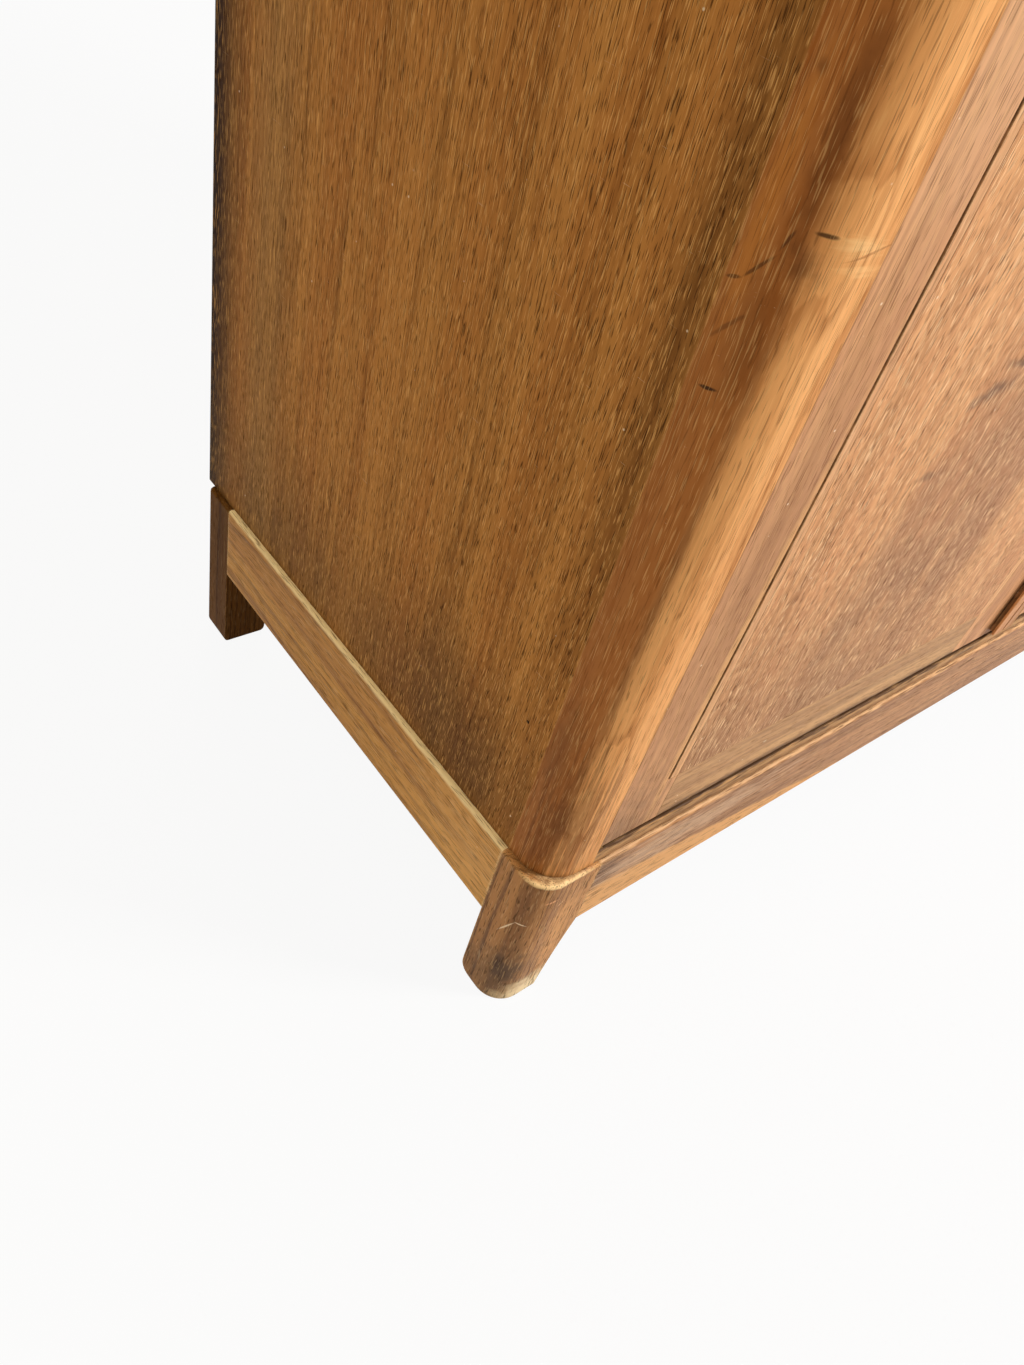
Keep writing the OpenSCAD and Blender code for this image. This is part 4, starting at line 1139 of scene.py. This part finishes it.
def plain_material(name, colour, white_behind):
    """A matt stage surface, which cameras and reflections may see as plain white."""
    material = bpy.data.materials.new(name)
    graph = emptied(material)
    matt = graph.put("ShaderNodeBsdfPrincipled", {"Base Color": colour, "Roughness": 0.9}).outputs[0]
    glow = graph.put("ShaderNodeEmission", {"Color": WHITE, "Strength": 1.0}).outputs[0]
    rays = graph.put("ShaderNodeLightPath").outputs
    seen = graph.maths("MAXIMUM", rays["Is Camera Ray"], rays["Is Glossy Ray"])
    seen = graph.maths("MAXIMUM", seen, rays["Is Transmission Ray"])
    share = graph.times(seen, white_behind)
    surface = graph.put("ShaderNodeMixShader", {0: share, 1: matt, 2: glow}).outputs[0]
    graph.put("ShaderNodeOutputMaterial", {"Surface": surface})
    return material


class CABINET_OT_stage(bpy.types.Operator):
    """Sets up the floor, the lamps, the sky and the camera"""
    bl_idname = "cabinet.stage"
    bl_label = "Stage"

    def execute(self, context):
        self.make_floor()
        self.make_sky()
        self.make_lamps()
        self.make_camera()
        bpy.context.scene.view_settings.view_transform = "Standard"
        return {"FINISHED"}

    def make_floor(self):
        floor = added("studio_floor", bpy.ops.mesh.primitive_plane_add, size=14)
        floor.data.materials.append(plain_material("pale floor", settings().studio.floor_colour, 0.92))

    def make_sky(self):
        world = bpy.data.worlds.new("studio")
        bpy.context.scene.world = world
        graph = emptied(world)
        rays = graph.put("ShaderNodeLightPath").outputs
        seen = graph.maths("MAXIMUM", rays["Is Camera Ray"], rays["Is Transmission Ray"])
        strength = graph.times_plus(seen, 1.0 - settings().studio.sky, settings().studio.sky)
        sky = graph.put("ShaderNodeBackground", {"Color": WHITE, "Strength": strength}).outputs[0]
        graph.put("ShaderNodeOutputWorld", {"Surface": sky})

    def make_lamps(self):
        studio = settings().studio
        aim = Vector((0, 0, 0.6))
        for name, place, size, watts, colour in (
                ("window_light", (1.15, -1.47, 2.0), 0.5, studio.key_power, (1.0, 0.97, 0.93)),
                ("fill_light", (-2.3, -0.5, 2.7), 2.0, studio.fill_power, (1.0, 0.84, 0.54)),
                ("back_light", (1.4, 3.0, 1.8), 2.0, studio.back_power, (1.0, 0.96, 0.90))):
            lamp = added(name, bpy.ops.object.light_add, type="AREA", location=place)
            lamp.data.size = size
            lamp.data.energy = watts
            lamp.data.color = colour
            lamp.rotation_euler = (Vector(place) - aim).to_track_quat("Z", "Y").to_euler()

    def make_camera(self):
        view = settings().camera
        camera = added("photo_view", bpy.ops.object.camera_add, location=view.place, rotation=view.turn)
        camera.data.sensor_fit = "HORIZONTAL"
        camera.data.sensor_width = 36
        camera.data.lens = view.lens
        camera.data.clip_start = 0.02
        bpy.context.scene.camera = camera


OPERATORS = (CABINET_OT_stage, CABINET_OT_legs, CABINET_OT_base_rails, CABINET_OT_posts,
             CABINET_OT_side_panels, CABINET_OT_boards, CABINET_OT_top, CABINET_OT_back,
             CABINET_OT_door_frames, CABINET_OT_door_panels, CABINET_OT_door_pulls, CABINET_OT_fittings,
             CABINET_OT_fasteners, CABINET_OT_glass)


class CABINET_PT_panel(bpy.types.Panel):
    """Lists the cabinet's operators"""
    bl_idname = "CABINET_PT_panel"
    bl_label = "Display Cabinet"
    bl_space_type = "VIEW_3D"
    bl_region_type = "UI"
    bl_category = "Cabinet"

    def draw(self, context):
        for operator in OPERATORS:
            self.layout.operator(operator.bl_idname)
        cabinet = context.scene.cabinet
        for group in (cabinet.edges, cabinet.joinery, cabinet.studio):
            for name in group.__annotations__:
                self.layout.prop(group, name)


CLASSES = (CabinetCamera, CabinetStudio, CabinetEdges, CabinetJoinery, CabinetSettings, *OPERATORS,
           CABINET_PT_panel)


def register():
    for cls in CLASSES:
        bpy.utils.register_class(cls)
    bpy.types.Scene.cabinet = PointerProperty(type=CabinetSettings)


def unregister():
    del bpy.types.Scene.cabinet
    for cls in reversed(CLASSES):
        bpy.utils.unregister_class(cls)


def main():
    register()
    for operator in OPERATORS:
        area, name = operator.bl_idname.split(".")
        getattr(getattr(bpy.ops, area), name)()


if __name__ == "__main__":
    main()
